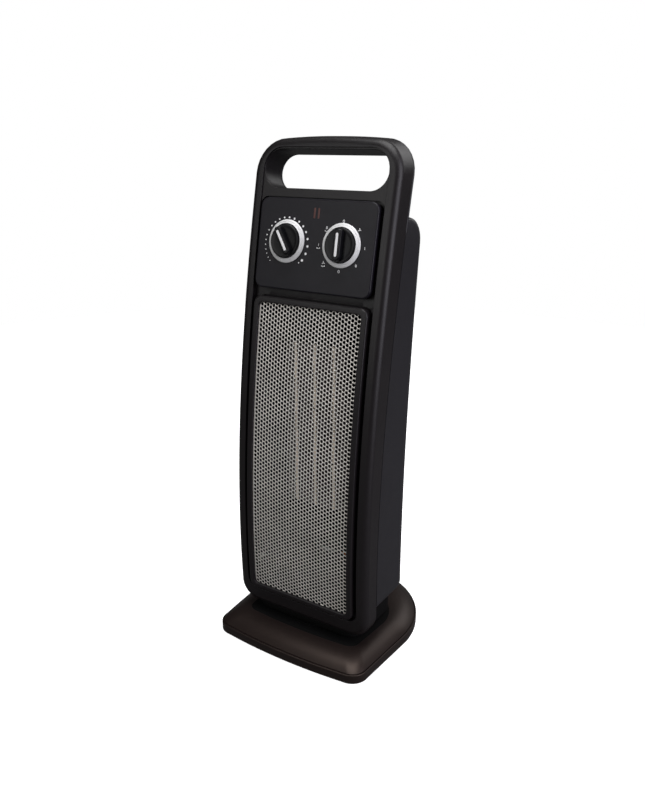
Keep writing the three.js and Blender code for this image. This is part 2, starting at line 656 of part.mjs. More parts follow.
// The neck: a low plinth under the front shell, and behind it a tub that carries the tower.
function neck() {
  const seamY = bow(TOWER.low) + seamDepth(TOWER.low) + 3 * GAP;
  const plinth = neckOutline(NECK.front);
  const tub = neckOutline(seamY);
  const inner = neckOutline(seamY, NECK.wall);
  const floor = NECK.low + NECK.wall;
  const body = join(
    prism(plinth.shape, NECK.step - NECK.low).translate(0, plinth.y, NECK.low),
    prism(tub.shape, NECK.high - NECK.low).translate(0, tub.y, NECK.low),
    ring(HUB.r, HUB.bore, HUB.low, NECK.low + OVERLAP, 32).translate(0, SWING_Y, 0),
  );
  const hollow = prism(inner.shape, NECK.high).translate(0, inner.y, floor);
  const shaftHole = rod(CRANK.shaftHoleR, 0, floor + PAST, 0, SWING_Y + CRANK.back);
  const wires = rod(WIRES.neckR, 0, floor + PAST, 0, SWING_Y);
  return cut(body, hollow, shaftHole, wires);
}

function swingMotor() {
  const { r, y, low, high, earReach, earWide, earThick } = MOTOR;
  const can = rod(r, low, high, 0, y, 24);
  const ears = box(2 * (r + earReach), earWide, earThick, 0, y, low + earThick / 2);
  return join(can, ears);
}

// The crank turns under the hub. Its pin rides in the swing guide's slot.
function swingCrank() {
  const disc = rod(CRANK.discR, CRANK.low, CRANK.high, 0, 0, 24);
  const shaft = rod(CRANK.shaftR, CRANK.high - OVERLAP, MOTOR.low - GAP);
  const pin = rod(CRANK.pinR, CRANK.pinLow, CRANK.low + OVERLAP, 0, CRANK.arm, 16);
  return join(disc, shaft, pin);
}

place(tower, 'neck', neck(), innerBlack);
const retainer = ring(RETAINER.r, HUB.r + RETAINER.play, RETAINER.low, RETAINER.high, 32);
place(tower, 'retaining_ring', retainer, zinc, 0, SWING_Y);
place(tower, 'swing_motor', swingMotor(), zinc);
place(tower, 'swing_crank', swingCrank(), nylon, 0, SWING_Y + CRANK.back);

// ---------------------------------------------------------------- base

// Plan outline of the base: bowed front, rounded corners, straight sides, half-round back.
// Each entry is a point and its outward normal.
function baseOutline() {
  const { front, crown, half, corner, backR, backY } = BASE;
  const right = [];
  const add = (x, y, nx, ny) => right.push({ x, y, nx, ny });
  const frontSteps = 3;
  const flat = half - corner;
  for (let i = 0; i < frontSteps; i += 1) {
    const x = (i / frontSteps) * flat;
    add(x, front + (x * x) / (2 * crown), x / crown, -1);
  }
  const cornerY = front + (flat * flat) / (2 * crown) + corner;
  const cornerSteps = 4;
  for (let i = 0; i <= cornerSteps; i += 1) {
    const a = -PI / 2 + (i / cornerSteps) * (PI / 2);
    add(flat + corner * cos(a), cornerY + corner * sin(a), cos(a), sin(a));
  }
  const sideSteps = 4;
  for (let i = 1; i < sideSteps; i += 1) {
    add(lerp(half, backR, i / sideSteps), lerp(cornerY, backY, i / sideSteps), 1, 0);
  }
  const backSteps = 8;
  for (let i = 0; i <= backSteps; i += 1) {
    const a = (i / backSteps) * (PI / 2);
    add(backR * cos(a), backY + backR * sin(a), cos(a), sin(a));
  }
  const left = right.slice(1, -1).reverse().map((p) => ({ ...p, x: -p.x, nx: -p.nx }));
  return [...right, ...left];
}

const outline = baseOutline();
const wallRing = (inset, z) =>
  outline.map((p) => new THREE.Vector3(p.x - inset * p.nx, p.y - inset * p.ny, z));

// The flat top under the neck is the outline drawn in towards the tower's footprint.
const FLAT_TOP = { front: -57, back: 38 };
function domeRing(t, drop) {
  const rise = 1 - (1 - t) ** BASE.pillow;
  const z = lerp(BASE.crease, BASE.top, rise) - drop;
  return wallRing(BASE.lip + drop, z).map((p, i) => {
    const along = (outline[i].y - BASE.front) / (BASE.backY + BASE.backR - BASE.front);
    const flat = new THREE.Vector3(
      outline[i].x * (BASE.flatHalf / BASE.backR), lerp(FLAT_TOP.front, FLAT_TOP.back, along), z);
    return p.lerp(flat, t);
  });
}

function holeRing(z) {
  return outline.map((p) => {
    const a = Math.atan2(p.y - SWING_Y, p.x);
    return new THREE.Vector3(BASE.hole * cos(a), SWING_Y + BASE.hole * sin(a), z);
  });
}

const BASE_SCREWS = [[-58, -50], [58, -50], [-56, 26], [56, 26]];
const BASE_SCREW = {
  bossR: 4, bossTop: 17.9, boreR: 1.9, boreTop: 14, headR: 3.4, headLow: 0.2, headHigh: 1.4, shankR: 1.5,
  shankTop: 11.5,
};
const FEET = [[-62, -70], [62, -70], [-52, 56], [52, 56]];
const FOOT = { r: 7, ease: 0.5 };
const PLATE = { low: 1.6, high: 3.6, inset: 2.8, holeR: 2 };
const GLAND = { z: 5.6, r: 3.7, bore: 3.2, front: 85.5, back: 92.7 };

function baseShell() {
  const { foot, ease, wallTop, top, skin } = BASE;
  const steps = [0, 0.08, 0.2, 0.45, 1];
  const innerSteps = [1, 0.25];
  const rings = [
    wallRing(skin, foot), wallRing(ease, foot), wallRing(0, foot + ease), wallRing(0, wallTop - ease),
    wallRing(ease, wallTop),
    ...steps.map((t) => domeRing(t, 0)),
    holeRing(top), holeRing(top - skin),
    ...innerSteps.map((t) => domeRing(t, skin)),
    wallRing(skin, wallTop - skin),
  ];
  const body = loft(rings, { loop: true, flip: true });
  const { bossR, bossTop, boreR, boreTop } = BASE_SCREW;
  const bosses = BASE_SCREWS.map(([x, y]) => rod(bossR, PLATE.high + GAP, bossTop, x, y, 16));
  const bores = BASE_SCREWS.map(([x, y]) => rod(boreR, 0, boreTop, x, y, 12));
  const inlet = levelRod(GLAND.r + GAP, GLAND.front - PAST, GLAND.back + PAST, 0, GLAND.z);
  return cut(join(body, ...bosses), ...bores, inlet);
}

const PLUNGER = {
  x: -53, y: 8, r: 2.6, foot: 0.3, ease: 0.6, flange: 8, flangeR: 4.4, flangeTall: 1.2, top: 11, play: 0.5,
};
const TIP_SWITCH = { wide: 20, deep: 7, tall: 4.6 };
const GUIDE = { wide: 22, wall: 6, corner: 5, low: 3.9, tall: 3.1, slot: 5.4, end: 3.4 };

function basePlate() {
  const points = wallRing(PLATE.inset, 0).map((p) => new THREE.Vector2(p.x, p.y));
  const plate = prism(new THREE.Shape(points), PLATE.high - PLATE.low).translate(0, 0, PLATE.low);
  const holes = BASE_SCREWS.map(([x, y]) => rod(PLATE.holeR, 0, PAST, x, y, 12));
  const notchWide = 2 * (GLAND.r + OVERLAP);
  const notch = box(notchWide, 2 * PAST, 2 * PAST, 0, GLAND.front - OVERLAP + PAST, PLATE.low);
  const plungerHole = rod(PLUNGER.r + PLUNGER.play, 0, PAST, PLUNGER.x, PLUNGER.y, 20);
  return cut(plate, ...holes, notch, plungerHole);
}

function baseScrew() {
  const { headR, headLow, headHigh, shankR, shankTop } = BASE_SCREW;
  return join(rod(headR, headLow, headHigh, 0, 0, 12), rod(shankR, headLow + OVERLAP, shankTop, 0, 0, 12));
}

function tipPlunger() {
  const { r, foot, ease, flange, flangeR, flangeTall, top } = PLUNGER;
  return turned([
    [0, foot], [r - ease, foot], [r, foot + ease], [r, flange], [flangeR, flange],
    [flangeR, flange + flangeTall], [r, flange + flangeTall], [r, top], [0, top],
  ], 20);
}

// The plate under the crank: its pin runs along the slot as the tower swings.
function swingGuide() {
  const { wide, wall, corner, low, tall, slot, end } = GUIDE;
  const reach = 2 * (CRANK.arm + end);
  const y = SWING_Y + CRANK.back;
  const plate = prism(roundedRect(wide, reach + 2 * wall, corner), tall).translate(0, y, low);
  const slotCut = prism(stadium(slot, reach), 2 * PAST).translate(0, y, low - PAST);
  return cut(plate, slotCut);
}

function footPad() {
  const top = PLATE.low - GAP;
  return turned([[0, 0], [FOOT.r - FOOT.ease, 0], [FOOT.r, FOOT.ease], [FOOT.r, top], [0, top]], 24);
}

function slideRing() {
  return ring(SLIDE.r, SLIDE.bore, BASE.top + GAP, NECK.low - GAP, 32);
}

function tipSwitch() {
  const { wide, deep, tall } = TIP_SWITCH;
  return box(wide, deep, tall, PLUNGER.x, PLUNGER.y, PLUNGER.top + GAP + tall / 2);
}

function cordGland() {
  const { z, r, bore, front, back } = GLAND;
  return cut(levelRod(r, front, back, 0, z, 20), levelRod(bore, front - PAST, back + PAST, 0, z, 20));
}

place(base, 'base_shell', baseShell(), baseBrown);
place(base, 'base_plate', basePlate(), innerBlack);
BASE_SCREWS.forEach(([x, y], i) => place(base, `base_screw_${i + 1}`, baseScrew(), zinc, x, y));
FEET.forEach(([x, y], i) => place(base, `foot_${i + 1}`, footPad(), rubber, x, y));
place(base, 'slide_ring', slideRing(), innerBlack, 0, SWING_Y);
place(base, 'swing_guide', swingGuide(), nylon);
place(base, 'tip_switch', tipSwitch(), innerBlack);
place(base, 'tip_plunger', tipPlunger(), nylon, PLUNGER.x, PLUNGER.y);
place(base, 'cord_gland', cordGland(), rubber);

export default heater;
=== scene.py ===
"""Looks of a tower ceramic heater on a swinging base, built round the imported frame.

Sizes are in millimetres until a mesh is made, which is in metres. x runs to the right as seen
from the front, y from front to back, and z up.
"""
import json
from math import atan, atan2, cos, pi, radians, sin, tau

import bmesh
import bpy
import numpy as np
from mathutils import Matrix, Vector
from mathutils.geometry import delaunay_2d_cdt


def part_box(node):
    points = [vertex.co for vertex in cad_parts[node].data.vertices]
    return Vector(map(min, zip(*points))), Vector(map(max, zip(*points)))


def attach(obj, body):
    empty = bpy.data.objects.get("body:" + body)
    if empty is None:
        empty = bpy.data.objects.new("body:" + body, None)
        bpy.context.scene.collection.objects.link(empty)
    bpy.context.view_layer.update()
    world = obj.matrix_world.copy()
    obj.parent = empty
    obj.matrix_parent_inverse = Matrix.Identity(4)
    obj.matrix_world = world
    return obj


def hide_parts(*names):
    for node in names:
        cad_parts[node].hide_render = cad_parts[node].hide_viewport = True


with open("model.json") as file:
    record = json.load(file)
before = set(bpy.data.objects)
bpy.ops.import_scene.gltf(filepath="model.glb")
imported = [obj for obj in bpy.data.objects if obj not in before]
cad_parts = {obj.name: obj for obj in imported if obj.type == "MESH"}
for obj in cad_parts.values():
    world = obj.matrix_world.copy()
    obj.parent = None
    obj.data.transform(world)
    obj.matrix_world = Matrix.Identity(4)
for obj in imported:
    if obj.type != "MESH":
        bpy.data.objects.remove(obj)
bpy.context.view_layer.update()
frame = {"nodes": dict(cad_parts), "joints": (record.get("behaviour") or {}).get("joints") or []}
scene = bpy.context.scene

MM = 0.001
FORWARD, BACKWARD = Vector((0, -1, 0)), Vector((0, 1, 0))


# -------- what the frame gives

def span(node):
    """A CAD node's lowest and highest corners in millimetres."""
    low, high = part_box(node)
    return low / MM, high / MM


def centre_of(node):
    low, high = span(node)
    return (low + high) / 2


def joint_called(name):
    return next(joint for joint in frame["joints"] if joint["name"] == name)


def depth_curve(node, keep, pick):
    """The nearest or farthest depth of a node's kept points, as a cubic in height."""
    rows = {}
    for vertex in frame["nodes"][node].data.vertices:
        x, y, z = vertex.co / MM
        if keep(x, z):
            row = round(z, 1)
            rows[row] = (z, pick(y, rows[row][1]) if row in rows else y)
    heights, depths = np.array(sorted(rows.values())).T
    return np.poly1d(np.polyfit(heights, depths, 3))


shell_low, shell_high = span("front_shell")
rear_low, rear_high = span("rear_housing")
bezel_low, bezel_high = span("grille_frame")
panel_low, panel_high = span("control_panel")
sheet_low, sheet_high = span("outlet_grille")
base_low, base_high = span("base_shell")

REAR_CORNER = 20.0
REAR_SHOULDER = 23.0
REAR_TOP = 425.5
REAR_WALL_TOP = REAR_TOP - REAR_SHOULDER
REAR_FOLLOW = 0.5  # how much of the front's bow the back takes up
ON_FACE = 0.05  # a point this near to a flat face lies on it

bow = depth_curve("outlet_grille", lambda x, z: True, min)
seam = depth_curve("front_shell", lambda x, z: x > shell_high.x - ON_FACE, max)


def rear_back(z):
    return rear_high.y + REAR_FOLLOW * (bow(z) - bow(REAR_WALL_TOP))


def joint_frame(name):
    """A joint's place: x to the right, z along its axis, in millimetres."""
    joint = joint_called(name)
    right, out = Vector((1, 0, 0)), Vector(joint["axis"]).normalized()
    matrix = Matrix((right, out.cross(right), out)).transposed().to_4x4()
    matrix.translation = Vector(joint["pos_m"]) / MM
    return matrix


# -------- driving dimensions

ARC_STEPS = 8
LIP_STEPS = 5
SIDE_STEPS = 26
STEPS_BELOW, STEPS_ABOVE = 24, 3  # up a side, below and above the recess's turn
HAIR = 0.01  # keeps apart points that would fall together
NET = {"pocket": 5, "plate": 6, "panel": 12, "recess": 14}  # spacing of points in a filled face

SEAM_ROUND = 0.5
GAP = 0.3
WALL = 2.2
EDGE = 6.7
LEAST_CORNER = 0.2
CROWN_SHARES = (0.75, 0.5, 0.25, 0.08)  # where the crown has points, from its end inwards
TOWER = {"half": shell_high.x, "low": shell_low.z, "high": shell_high.z, "corners": (20, 30), "crown": 1.7}

POCKET = {"half": 65.6, "low": 46, "high": 484.5, "corners": (11, 19)}
POCKET_LIP = 0.3
POCKET_DEPTH = 1.5
PANEL_GAP = 0.35
RECESS_CORNER = 8.0
RECESS_TOP = panel_high.z + PANEL_GAP
RECESS_DEPTH = 6.0
RECESS_TURN = RECESS_TOP - RECESS_CORNER  # where the recess leaves the pocket's side

HANDLE = {"half": 65, "tall": 34.6, "rise": 266.1, "lip": 0.4, "draft": 0.5, "side_draft": 2.4}
OUTLET_Z = (bezel_low.z + bezel_high.z) / 2
OUTLET = {"half": 55.6, "tall": 292.5, "corner": 4}
WINDOW = {"half": 57, "tall": 295, "corner": 6}  # in the shell, behind the bezel


# -------- outlines

def arc(x, y, radius, start, sweep=pi / 2, steps=ARC_STEPS):
    angles = [start + sweep * i / steps for i in range(steps + 1)]
    return [(x + radius * cos(a), y + radius * sin(a)) for a in angles]


def circle(x, y, radius, steps):
    angles = [tau * i / steps for i in range(steps)]
    return [(x + radius * cos(a), y + radius * sin(a)) for a in angles]


def mirrored(right):
    """An outline's right half with the left half after it."""
    return right + [(-x, other) for x, other in reversed(right)]


def side_heights(start, end, turn):
    """Heights up a straight side, which all outlines share below the turn."""
    if turn is None:
        return list(np.linspace(start, end, SIDE_STEPS + 1))[1:-1]
    below = np.linspace(start, turn, STEPS_BELOW + 1)[1:]
    above = np.linspace(turn, end, STEPS_ABOVE + 1)[1:-1]
    return [*below, *above]


def upright(half, low, high, corners, crown=0.0, inset=0.0, turn=None):
    """A rounded rectangle seen from the front: (x, z) points, anticlockwise from its lower right.

    The middle of its top stands higher than the ends of the corners by the crown.
    """
    small, large = [max(corner - inset, LEAST_CORNER) for corner in corners]
    half, low, high = half - inset, low + inset, high - inset
    start, end = low + small, high - crown - large
    right = arc(half - small, start, small, -pi / 2)
    right += [(half, z) for z in side_heights(start, end, turn)]
    right += arc(half - large, end, large, 0)
    right += [(share * (half - large), high - crown * share ** 2) for share in CROWN_SHARES]
    return mirrored(right)


def recess_outline():
    """The recess shares the pocket's sides up to the turn, then closes over the panel's top."""
    start = POCKET["low"] + POCKET["corners"][0]
    half, corner = POCKET["half"], POCKET["corners"][0]
    right = arc(half - corner, start, corner, -pi / 2)
    right += [(half, z) for z in np.linspace(start, RECESS_TURN, STEPS_BELOW + 1)[1:-1]]
    right += arc(half - RECESS_CORNER, RECESS_TURN, RECESS_CORNER, 0)
    return mirrored(right)


def rounded(wide, tall, radius, x=0.0, y=0.0, steps=ARC_STEPS):
    """A rounded rectangle round a point, anticlockwise."""
    right, top = wide / 2 - radius, tall / 2 - radius
    points = []
    for i, (sx, sy) in enumerate([(1, -1), (1, 1), (-1, 1), (-1, -1)]):
        points += arc(x + sx * right, y + sy * top, radius, (i - 1) * pi / 2, steps=steps)
    return points


def stadium(wide, tall, x=0.0, y=0.0, steps=ARC_STEPS):
    """A round-ended slot round a point."""
    return rounded(wide, tall, min(wide, tall) / 2 - HAIR, x, y, steps)


def edge_round(radius, steps=ARC_STEPS):
    """(inset, depth) pairs round an outside edge, from the side onto the face."""
    angles = [pi / 2 * i / steps for i in range(steps + 1)]
    return [(radius * (1 - cos(a)), radius * (1 - sin(a))) for a in angles]


def lip_round(radius, steps=LIP_STEPS):
    """(inset, depth) pairs round an opening's edge, from the face into the opening."""
    angles = [pi / 2 * i / steps for i in range(steps + 1)]
    return [(-radius * (1 - sin(a)), radius * (1 - cos(a))) for a in angles]


def on_front(points, depth):
    """(x, z) points set a depth behind the bowed front."""
    return [(x, bow(z) + depth, z) for x, z in points]


def on_seam(points, behind):
    """(x, z) points set a depth behind the seam between the two shells."""
    return [(x, seam(z) + behind, z) for x, z in points]


def flat(points, height):
    return [(x, y, height) for x, y in points]


def level(curve, behind):
    """A depth curve moved back by a fixed amount."""
    return lambda z: curve(z) + behind


def on_surface(curve):
    """Sets a point seen from the front on the surface y = curve(z)."""
    return lambda x, z: (x, curve(z), z)


def seen_from_front(ring):
    return [(x, z) for x, _, z in ring]


# -------- surfaces

SHARP = 32  # degrees between faces that makes an edge a sharp one
WELD = 4e-6  # metres within which points are one point
SLIVER = 2e-6  # metres below which an edge is dropped
NET_WELD = 1e-5  # millimetres within which a filled face's points are one
NEVER_ZERO = 1e-12
LATHE_STEPS = 96


def inside(points, loop):
    """Which of the points lie inside a closed loop, by the even-odd rule."""
    px, py = points[:, 0], points[:, 1]
    result = np.zeros(len(points), bool)
    for (ax, ay), (bx, by) in zip(loop, loop[1:] + loop[:1]):
        crosses = (ay > py) != (by > py)
        if crosses.any():
            at = ax + (py - ay) * (bx - ax) / ((by - ay) or NEVER_ZERO)
            result ^= crosses & (px < at)
    return result


class Surface:
    """A mesh in the making, in millimetres."""

    def __init__(self):
        self.points = []
        self.faces = []

    def ring(self, points):
        start = len(self.points)
        self.points += [Vector(p) for p in points]
        return list(range(start, len(self.points)))

    def band(self, first, second, closed=True):
        count = len(first)
        for i in range(count if closed else count - 1):
            j = (i + 1) % count
            self.faces.append((first[i], first[j], second[j], second[i]))

    def loft(self, rings, loop=False, closed=True):
        placed = [self.ring(points) for points in rings]
        following = placed[1:] + placed[:1] if loop else placed[1:]
        for first, second in zip(placed, following):
            self.band(first, second, closed)
        return placed

    def zip_across(self, ring):
        """Closes a ring whose second half mirrors its first with level strips."""
        count = len(ring)
        for i in range(count // 2 - 1):
            self.faces.append((ring[i], ring[i + 1], ring[count - 2 - i], ring[count - 1 - i]))

    def fan(self, ring):
        """Closes a ring with triangles to its middle."""
        middle = sum((self.points[i] for i in ring), Vector()) / len(ring)
        centre = self.ring([middle])[0]
        for i, j in zip(ring, ring[1:] + ring[:1]):
            self.faces.append((i, j, centre))

    def solid(self, rings):
        """A loft closed at both ends."""
        placed = self.loft(rings)
        self.fan(placed[0])
        self.fan(placed[-1])

    def fill(self, outer, holes, place, spacing):
        """Fills the region between an outline and its holes with a fine net of triangles."""
        loops = [outer, *holes]
        corners, edges = [], []
        for loop in loops:
            start = len(corners)
            corners += [Vector(p) for p in loop]
            edges += [(start + i, start + (i + 1) % len(loop)) for i in range(len(loop))]
        low, high = np.min(outer, axis=0), np.max(outer, axis=0)
        grid = np.stack(np.meshgrid(
            np.arange(low[0], high[0], spacing) + spacing / 3,
            np.arange(low[1], high[1], spacing) + spacing / 3), -1).reshape(-1, 2)
        rim = np.array([p for loop in loops for p in loop])
        clear = np.array([np.hypot(*(rim - p).T).min() > spacing / 2 for p in grid], bool)
        grid = grid[clear & self.between(grid, outer, holes)] if len(grid) else grid
        points, _, triangles, *_ = delaunay_2d_cdt(
            corners + [Vector(p) for p in grid], edges, [], 0, NET_WELD)
        centres = np.array([sum((points[i] for i in t), Vector((0, 0))) / 3 for t in triangles])
        kept = self.between(centres, outer, holes)
        ids = self.ring([place(*p) for p in points])
        self.faces += [tuple(ids[i] for i in t) for t, keep in zip(triangles, kept) if keep]

    @staticmethod
    def between(points, outer, holes):
        result = inside(points, list(outer))
        for hole in holes:
            result &= ~inside(points, list(hole))
        return result

    def piece(self, name, material, matrix=None, sharp=SHARP, out=None):
        """Welds the surface, turns its faces out and makes the object.

        An open surface says which way is out: its farthest face that way must face that way.
        """
        mesh = bpy.data.meshes.new(name)
        work = bmesh.new()
        matrix = matrix or Matrix.Identity(4)
        vertices = [work.verts.new((matrix @ p) * MM) for p in self.points]
        for face in self.faces:
            work.faces.new([vertices[i] for i in face])
        bmesh.ops.remove_doubles(work, verts=work.verts, dist=WELD)
        bmesh.ops.dissolve_degenerate(work, edges=work.edges, dist=SLIVER)
        loose = [v for v in work.verts if not v.link_faces]
        bmesh.ops.delete(work, geom=loose, context="VERTS")
        bmesh.ops.recalc_face_normals(work, faces=work.faces)
        if out:
            farthest = max(work.faces, key=lambda face: face.calc_center_median().dot(out))
            if farthest.normal.dot(out) < 0:
                bmesh.ops.reverse_faces(work, faces=work.faces)
        work.to_mesh(mesh)
        work.free()
        return finished(name, mesh, material, sharp)


def shade(mesh, sharp):
    """Smooth faces, broken at the sharp edges."""
    mesh.polygons.foreach_set("use_smooth", [True] * len(mesh.polygons))
    mesh.set_sharp_from_angle(angle=radians(sharp))


def solid_piece(name, material, rings, matrix=None):
    surface = Surface()
    surface.solid(rings)
    return surface.piece(name, material, matrix)


def finished(name, mesh, material, sharp):
    shade(mesh, sharp)
    mesh.materials.append(material)
    piece = bpy.data.objects.new(name, mesh)
    scene.collection.objects.link(piece)
    return piece


def thicken(piece, wall):
    """Gives a skin its wall thickness, inwards."""
    modifier = piece.modifiers.new("wall", "SOLIDIFY")
    modifier.thickness = wall * MM
    modifier.offset = -1
    return piece


def rework(piece, clean_cut=(), add=(), cut=(), sharp=SHARP):
    """Cuts and adds helper pieces, in this order, and drops them.

    A clean cut is made while the piece is still a plain skin that doesn't cross itself.
    """
    steps = [("DIFFERENCE", clean_cut, False), ("UNION", add, True), ("DIFFERENCE", cut, True)]
    for operation, helpers, self_crossing in steps:
        for helper in helpers:
            modifier = piece.modifiers.new(operation.lower(), "BOOLEAN")
            modifier.object = helper
            modifier.operation = operation
            modifier.solver = "EXACT"
            modifier.use_self = self_crossing
    graph = bpy.context.evaluated_depsgraph_get()
    mesh = bpy.data.meshes.new_from_object(piece.evaluated_get(graph))
    piece.modifiers.clear()
    piece.data = mesh
    shade(mesh, sharp)
    for helper in (*clean_cut, *add, *cut):
        bpy.data.objects.remove(helper)


def turned(profile, steps=LATHE_STEPS):
    """A lathe turning: rings of (radius, height) points about the z axis."""
    surface = Surface()
    surface.loft([flat(circle(0, 0, radius, steps), z) for radius, z in profile], loop=True)
    return surface


def install(piece, body, slot, *nodes):
    """Sets a piece on its body in place of the CAD nodes it stands for."""
    flatten = piece.modifiers.new("flat_faces_stay_flat", "WEIGHTED_NORMAL")
    flatten.keep_sharp = True
    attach(piece, body)
    if nodes:
        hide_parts(*nodes)


# -------- materials

def plug(tree, owner, **values):
    """Sets a node's inputs, each to a value or to another node's output."""
    for name, value in values.items():
        socket = owner.inputs[name.replace("_", " ")]
        if isinstance(value, bpy.types.NodeSocket):
            tree.links.new(value, socket)
        else:
            socket.default_value = value


def add_node(tree, kind, **values):
    made = tree.nodes.new(f"ShaderNode{kind}")
    plug(tree, made, **values)
    return made


BROAD, SMUDGE = 60, 24  # sizes of the slow changes, in grains
ROUGH_DRIFT = 0.04  # share of the roughness
NOISE_LOW, NOISE_HIGH = 0.3, 0.7  # the part of the noise's range that is spread out


def finish(name, color, roughness, metallic=0.0, grain=(0.5, 0.02), drift=0.06, stretch=(1, 1, 1),
           **sockets):
    """A surface with a fine grain in its bump, and colour and roughness that drift over it.

    grain is its size and height in millimetres; drift is a share of the colour.
    """
    material = bpy.data.materials.new(name)
    material.use_nodes = True
    tree = material.node_tree
    shader = tree.nodes["Principled BSDF"]
    plug(tree, shader, Metallic=metallic, **sockets)
    place = add_node(tree, "TexCoord").outputs["Object"]
    mapped = add_node(tree, "Mapping", Vector=place, Scale=stretch).outputs["Vector"]

    def noise(size, detail):
        texture = add_node(tree, "TexNoise", Vector=mapped, Scale=1 / (size * MM), Detail=detail)
        return texture.outputs["Fac"]

    def spread(source, low, high):
        ranged = add_node(tree, "MapRange", Value=source, From_Min=NOISE_LOW, From_Max=NOISE_HIGH,
                          To_Min=low, To_Max=high)
        return ranged.outputs["Result"]

    size, height = grain
    mix = add_node(tree, "Mix")
    mix.data_type = "RGBA"
    plug(tree, mix, Factor=spread(noise(size * BROAD, 3), 0, 1),
         A=(*[c * (1 - drift) for c in color], 1), B=(*[c * (1 + drift) for c in color], 1))
    smudge = spread(noise(size * SMUDGE, 5), roughness * (1 - ROUGH_DRIFT), roughness * (1 + ROUGH_DRIFT))
    bump = add_node(tree, "Bump", Height=noise(size, 2), Distance=height * MM, Strength=1.0)
    plug(tree, shader, Base_Color=mix.outputs["Result"], Roughness=smudge, Normal=bump.outputs["Normal"])
    return material


PAINT = {
    "shell": finish("shell_satin", (0.0078, 0.0062, 0.0070), 0.42, grain=(0.45, 0.012),
                    Specular_IOR_Level=0.32),
    "rear": finish("rear_satin", (0.0105, 0.0098, 0.0122), 0.46, grain=(0.5, 0.016),
                   Specular_IOR_Level=0.4),
    "panel": finish("panel_matt", (0.0066, 0.0056, 0.0088), 0.44, grain=(0.35, 0.008),
                    Specular_IOR_Level=0.26),
    "base": finish("base_gloss", (0.0108, 0.0074, 0.0068), 0.38, grain=(0.6, 0.002),
                   Specular_IOR_Level=0.33, Specular_Tint=(1, 0.8, 0.7, 1)),
    "knob": finish("knob_satin", (0.0035, 0.0035, 0.0045), 0.34, grain=(0.3, 0.006),
                   Specular_IOR_Level=0.18),
    "inner": finish("inner_matt", (0.003, 0.003, 0.003), 0.7, grain=(0.6, 0.02),
                    Specular_IOR_Level=0.1),
    "silver": finish("ring_silver", (0.8, 0.8, 0.8), 0.38, 0.1, grain=(0.25, 0.0005), drift=0.02),
    "sheet": finish("sheet_steel", (0.80, 0.765, 0.71), 0.4, 0.5, grain=(0.4, 0.006), drift=0.08),
    "steel": finish("plain_steel", (0.42, 0.42, 0.41), 0.4, 1.0, grain=(0.3, 0.01),
                    stretch=(1, 1, 6)),
    # painted shade: the duct, motor parts and cut-out inside the tower are made far darker than plated
    # metal, to stand in for the shade they sit in
    "duct": finish("duct_plate_painted_shade", (0.03, 0.03, 0.029), 0.6, 0.8, grain=(0.5, 0.01), drift=0.1),
    "zinc": finish("zinc_plate", (0.56, 0.55, 0.51), 0.38, 1.0, grain=(0.5, 0.01), drift=0.1),
    "aluminium": finish("bare_strip", (0.16, 0.14, 0.125), 0.45, 1.0, grain=(0.4, 0.01),
                        stretch=(1, 1, 0.2)),
    "ceramic": finish("bare_ceramic", (0.86, 0.74, 0.60), 0.75, grain=(0.3, 0.03)),
    "copper": finish("wound_copper", (0.52, 0.19, 0.07), 0.36, 1.0, grain=(0.4, 0.06),
                     stretch=(0.2, 1, 1)),
    "rubber": finish("soft_rubber", (0.014, 0.014, 0.014), 0.85, grain=(0.4, 0.03)),
    "lens": finish("dark_red_lens", (0.07, 0.016, 0.011), 0.45, grain=(0.5, 0.003)),
    "glass": finish("lamp_glass", (0.8, 0.72, 0.62), 0.1, grain=(0.5, 0.002),
                    Transmission_Weight=0.8),
    "nylon": finish("plain_nylon", (0.62, 0.59, 0.52), 0.5, grain=(0.4, 0.012),
                    Subsurface_Weight=0.1),
    "mark": finish("white_print", (0.95, 0.95, 0.95), 0.6, grain=(0.15, 0.002), drift=0.03),
}


# -------- the tower's shells

def tower_outline(inset=0.0):
    return upright(**TOWER, inset=inset, turn=RECESS_TURN)


def pocket_outline(inset=0.0):
    return upright(**POCKET, inset=inset, turn=RECESS_TURN)


HANDLE_STEPS = 14
SURFACE_TRIES = 5  # steps along the tunnel that bring a point onto a curved surface


def opening(offset, depth_at, narrowed=0):
    """The finger opening's rim where it meets the surface y = depth_at(z).

    narrowed goes from 0 at the mouth to 1 at the back, where the draft has made it smaller.
    """
    middle_z = OUTLET_Z + HANDLE["rise"]
    tilt = atan(bow.deriv()(middle_z))
    middle = Vector((0, bow(middle_z), middle_z))
    up = Vector((0, sin(tilt), cos(tilt)))
    axis = Vector((0, cos(tilt), -sin(tilt)))
    half = HANDLE["half"] + offset - narrowed * HANDLE["side_draft"]
    radius = HANDLE["tall"] / 2 + offset - narrowed * HANDLE["draft"]
    rim = []
    for x, rise in stadium(2 * half, 2 * radius, steps=HANDLE_STEPS):
        point = middle + Vector((x, 0, 0)) + rise * up
        for _ in range(SURFACE_TRIES):
            point += axis * ((depth_at(point.z) - point.y) / axis.y)
        rim.append(tuple(point))
    return rim


def above_turn(outline):
    return [point for point in outline if point[1] > RECESS_TURN - HAIR]


EDGE_STEPS = 10
TOE = 14  # the shell closes its own back up to this far over the rear housing's underside


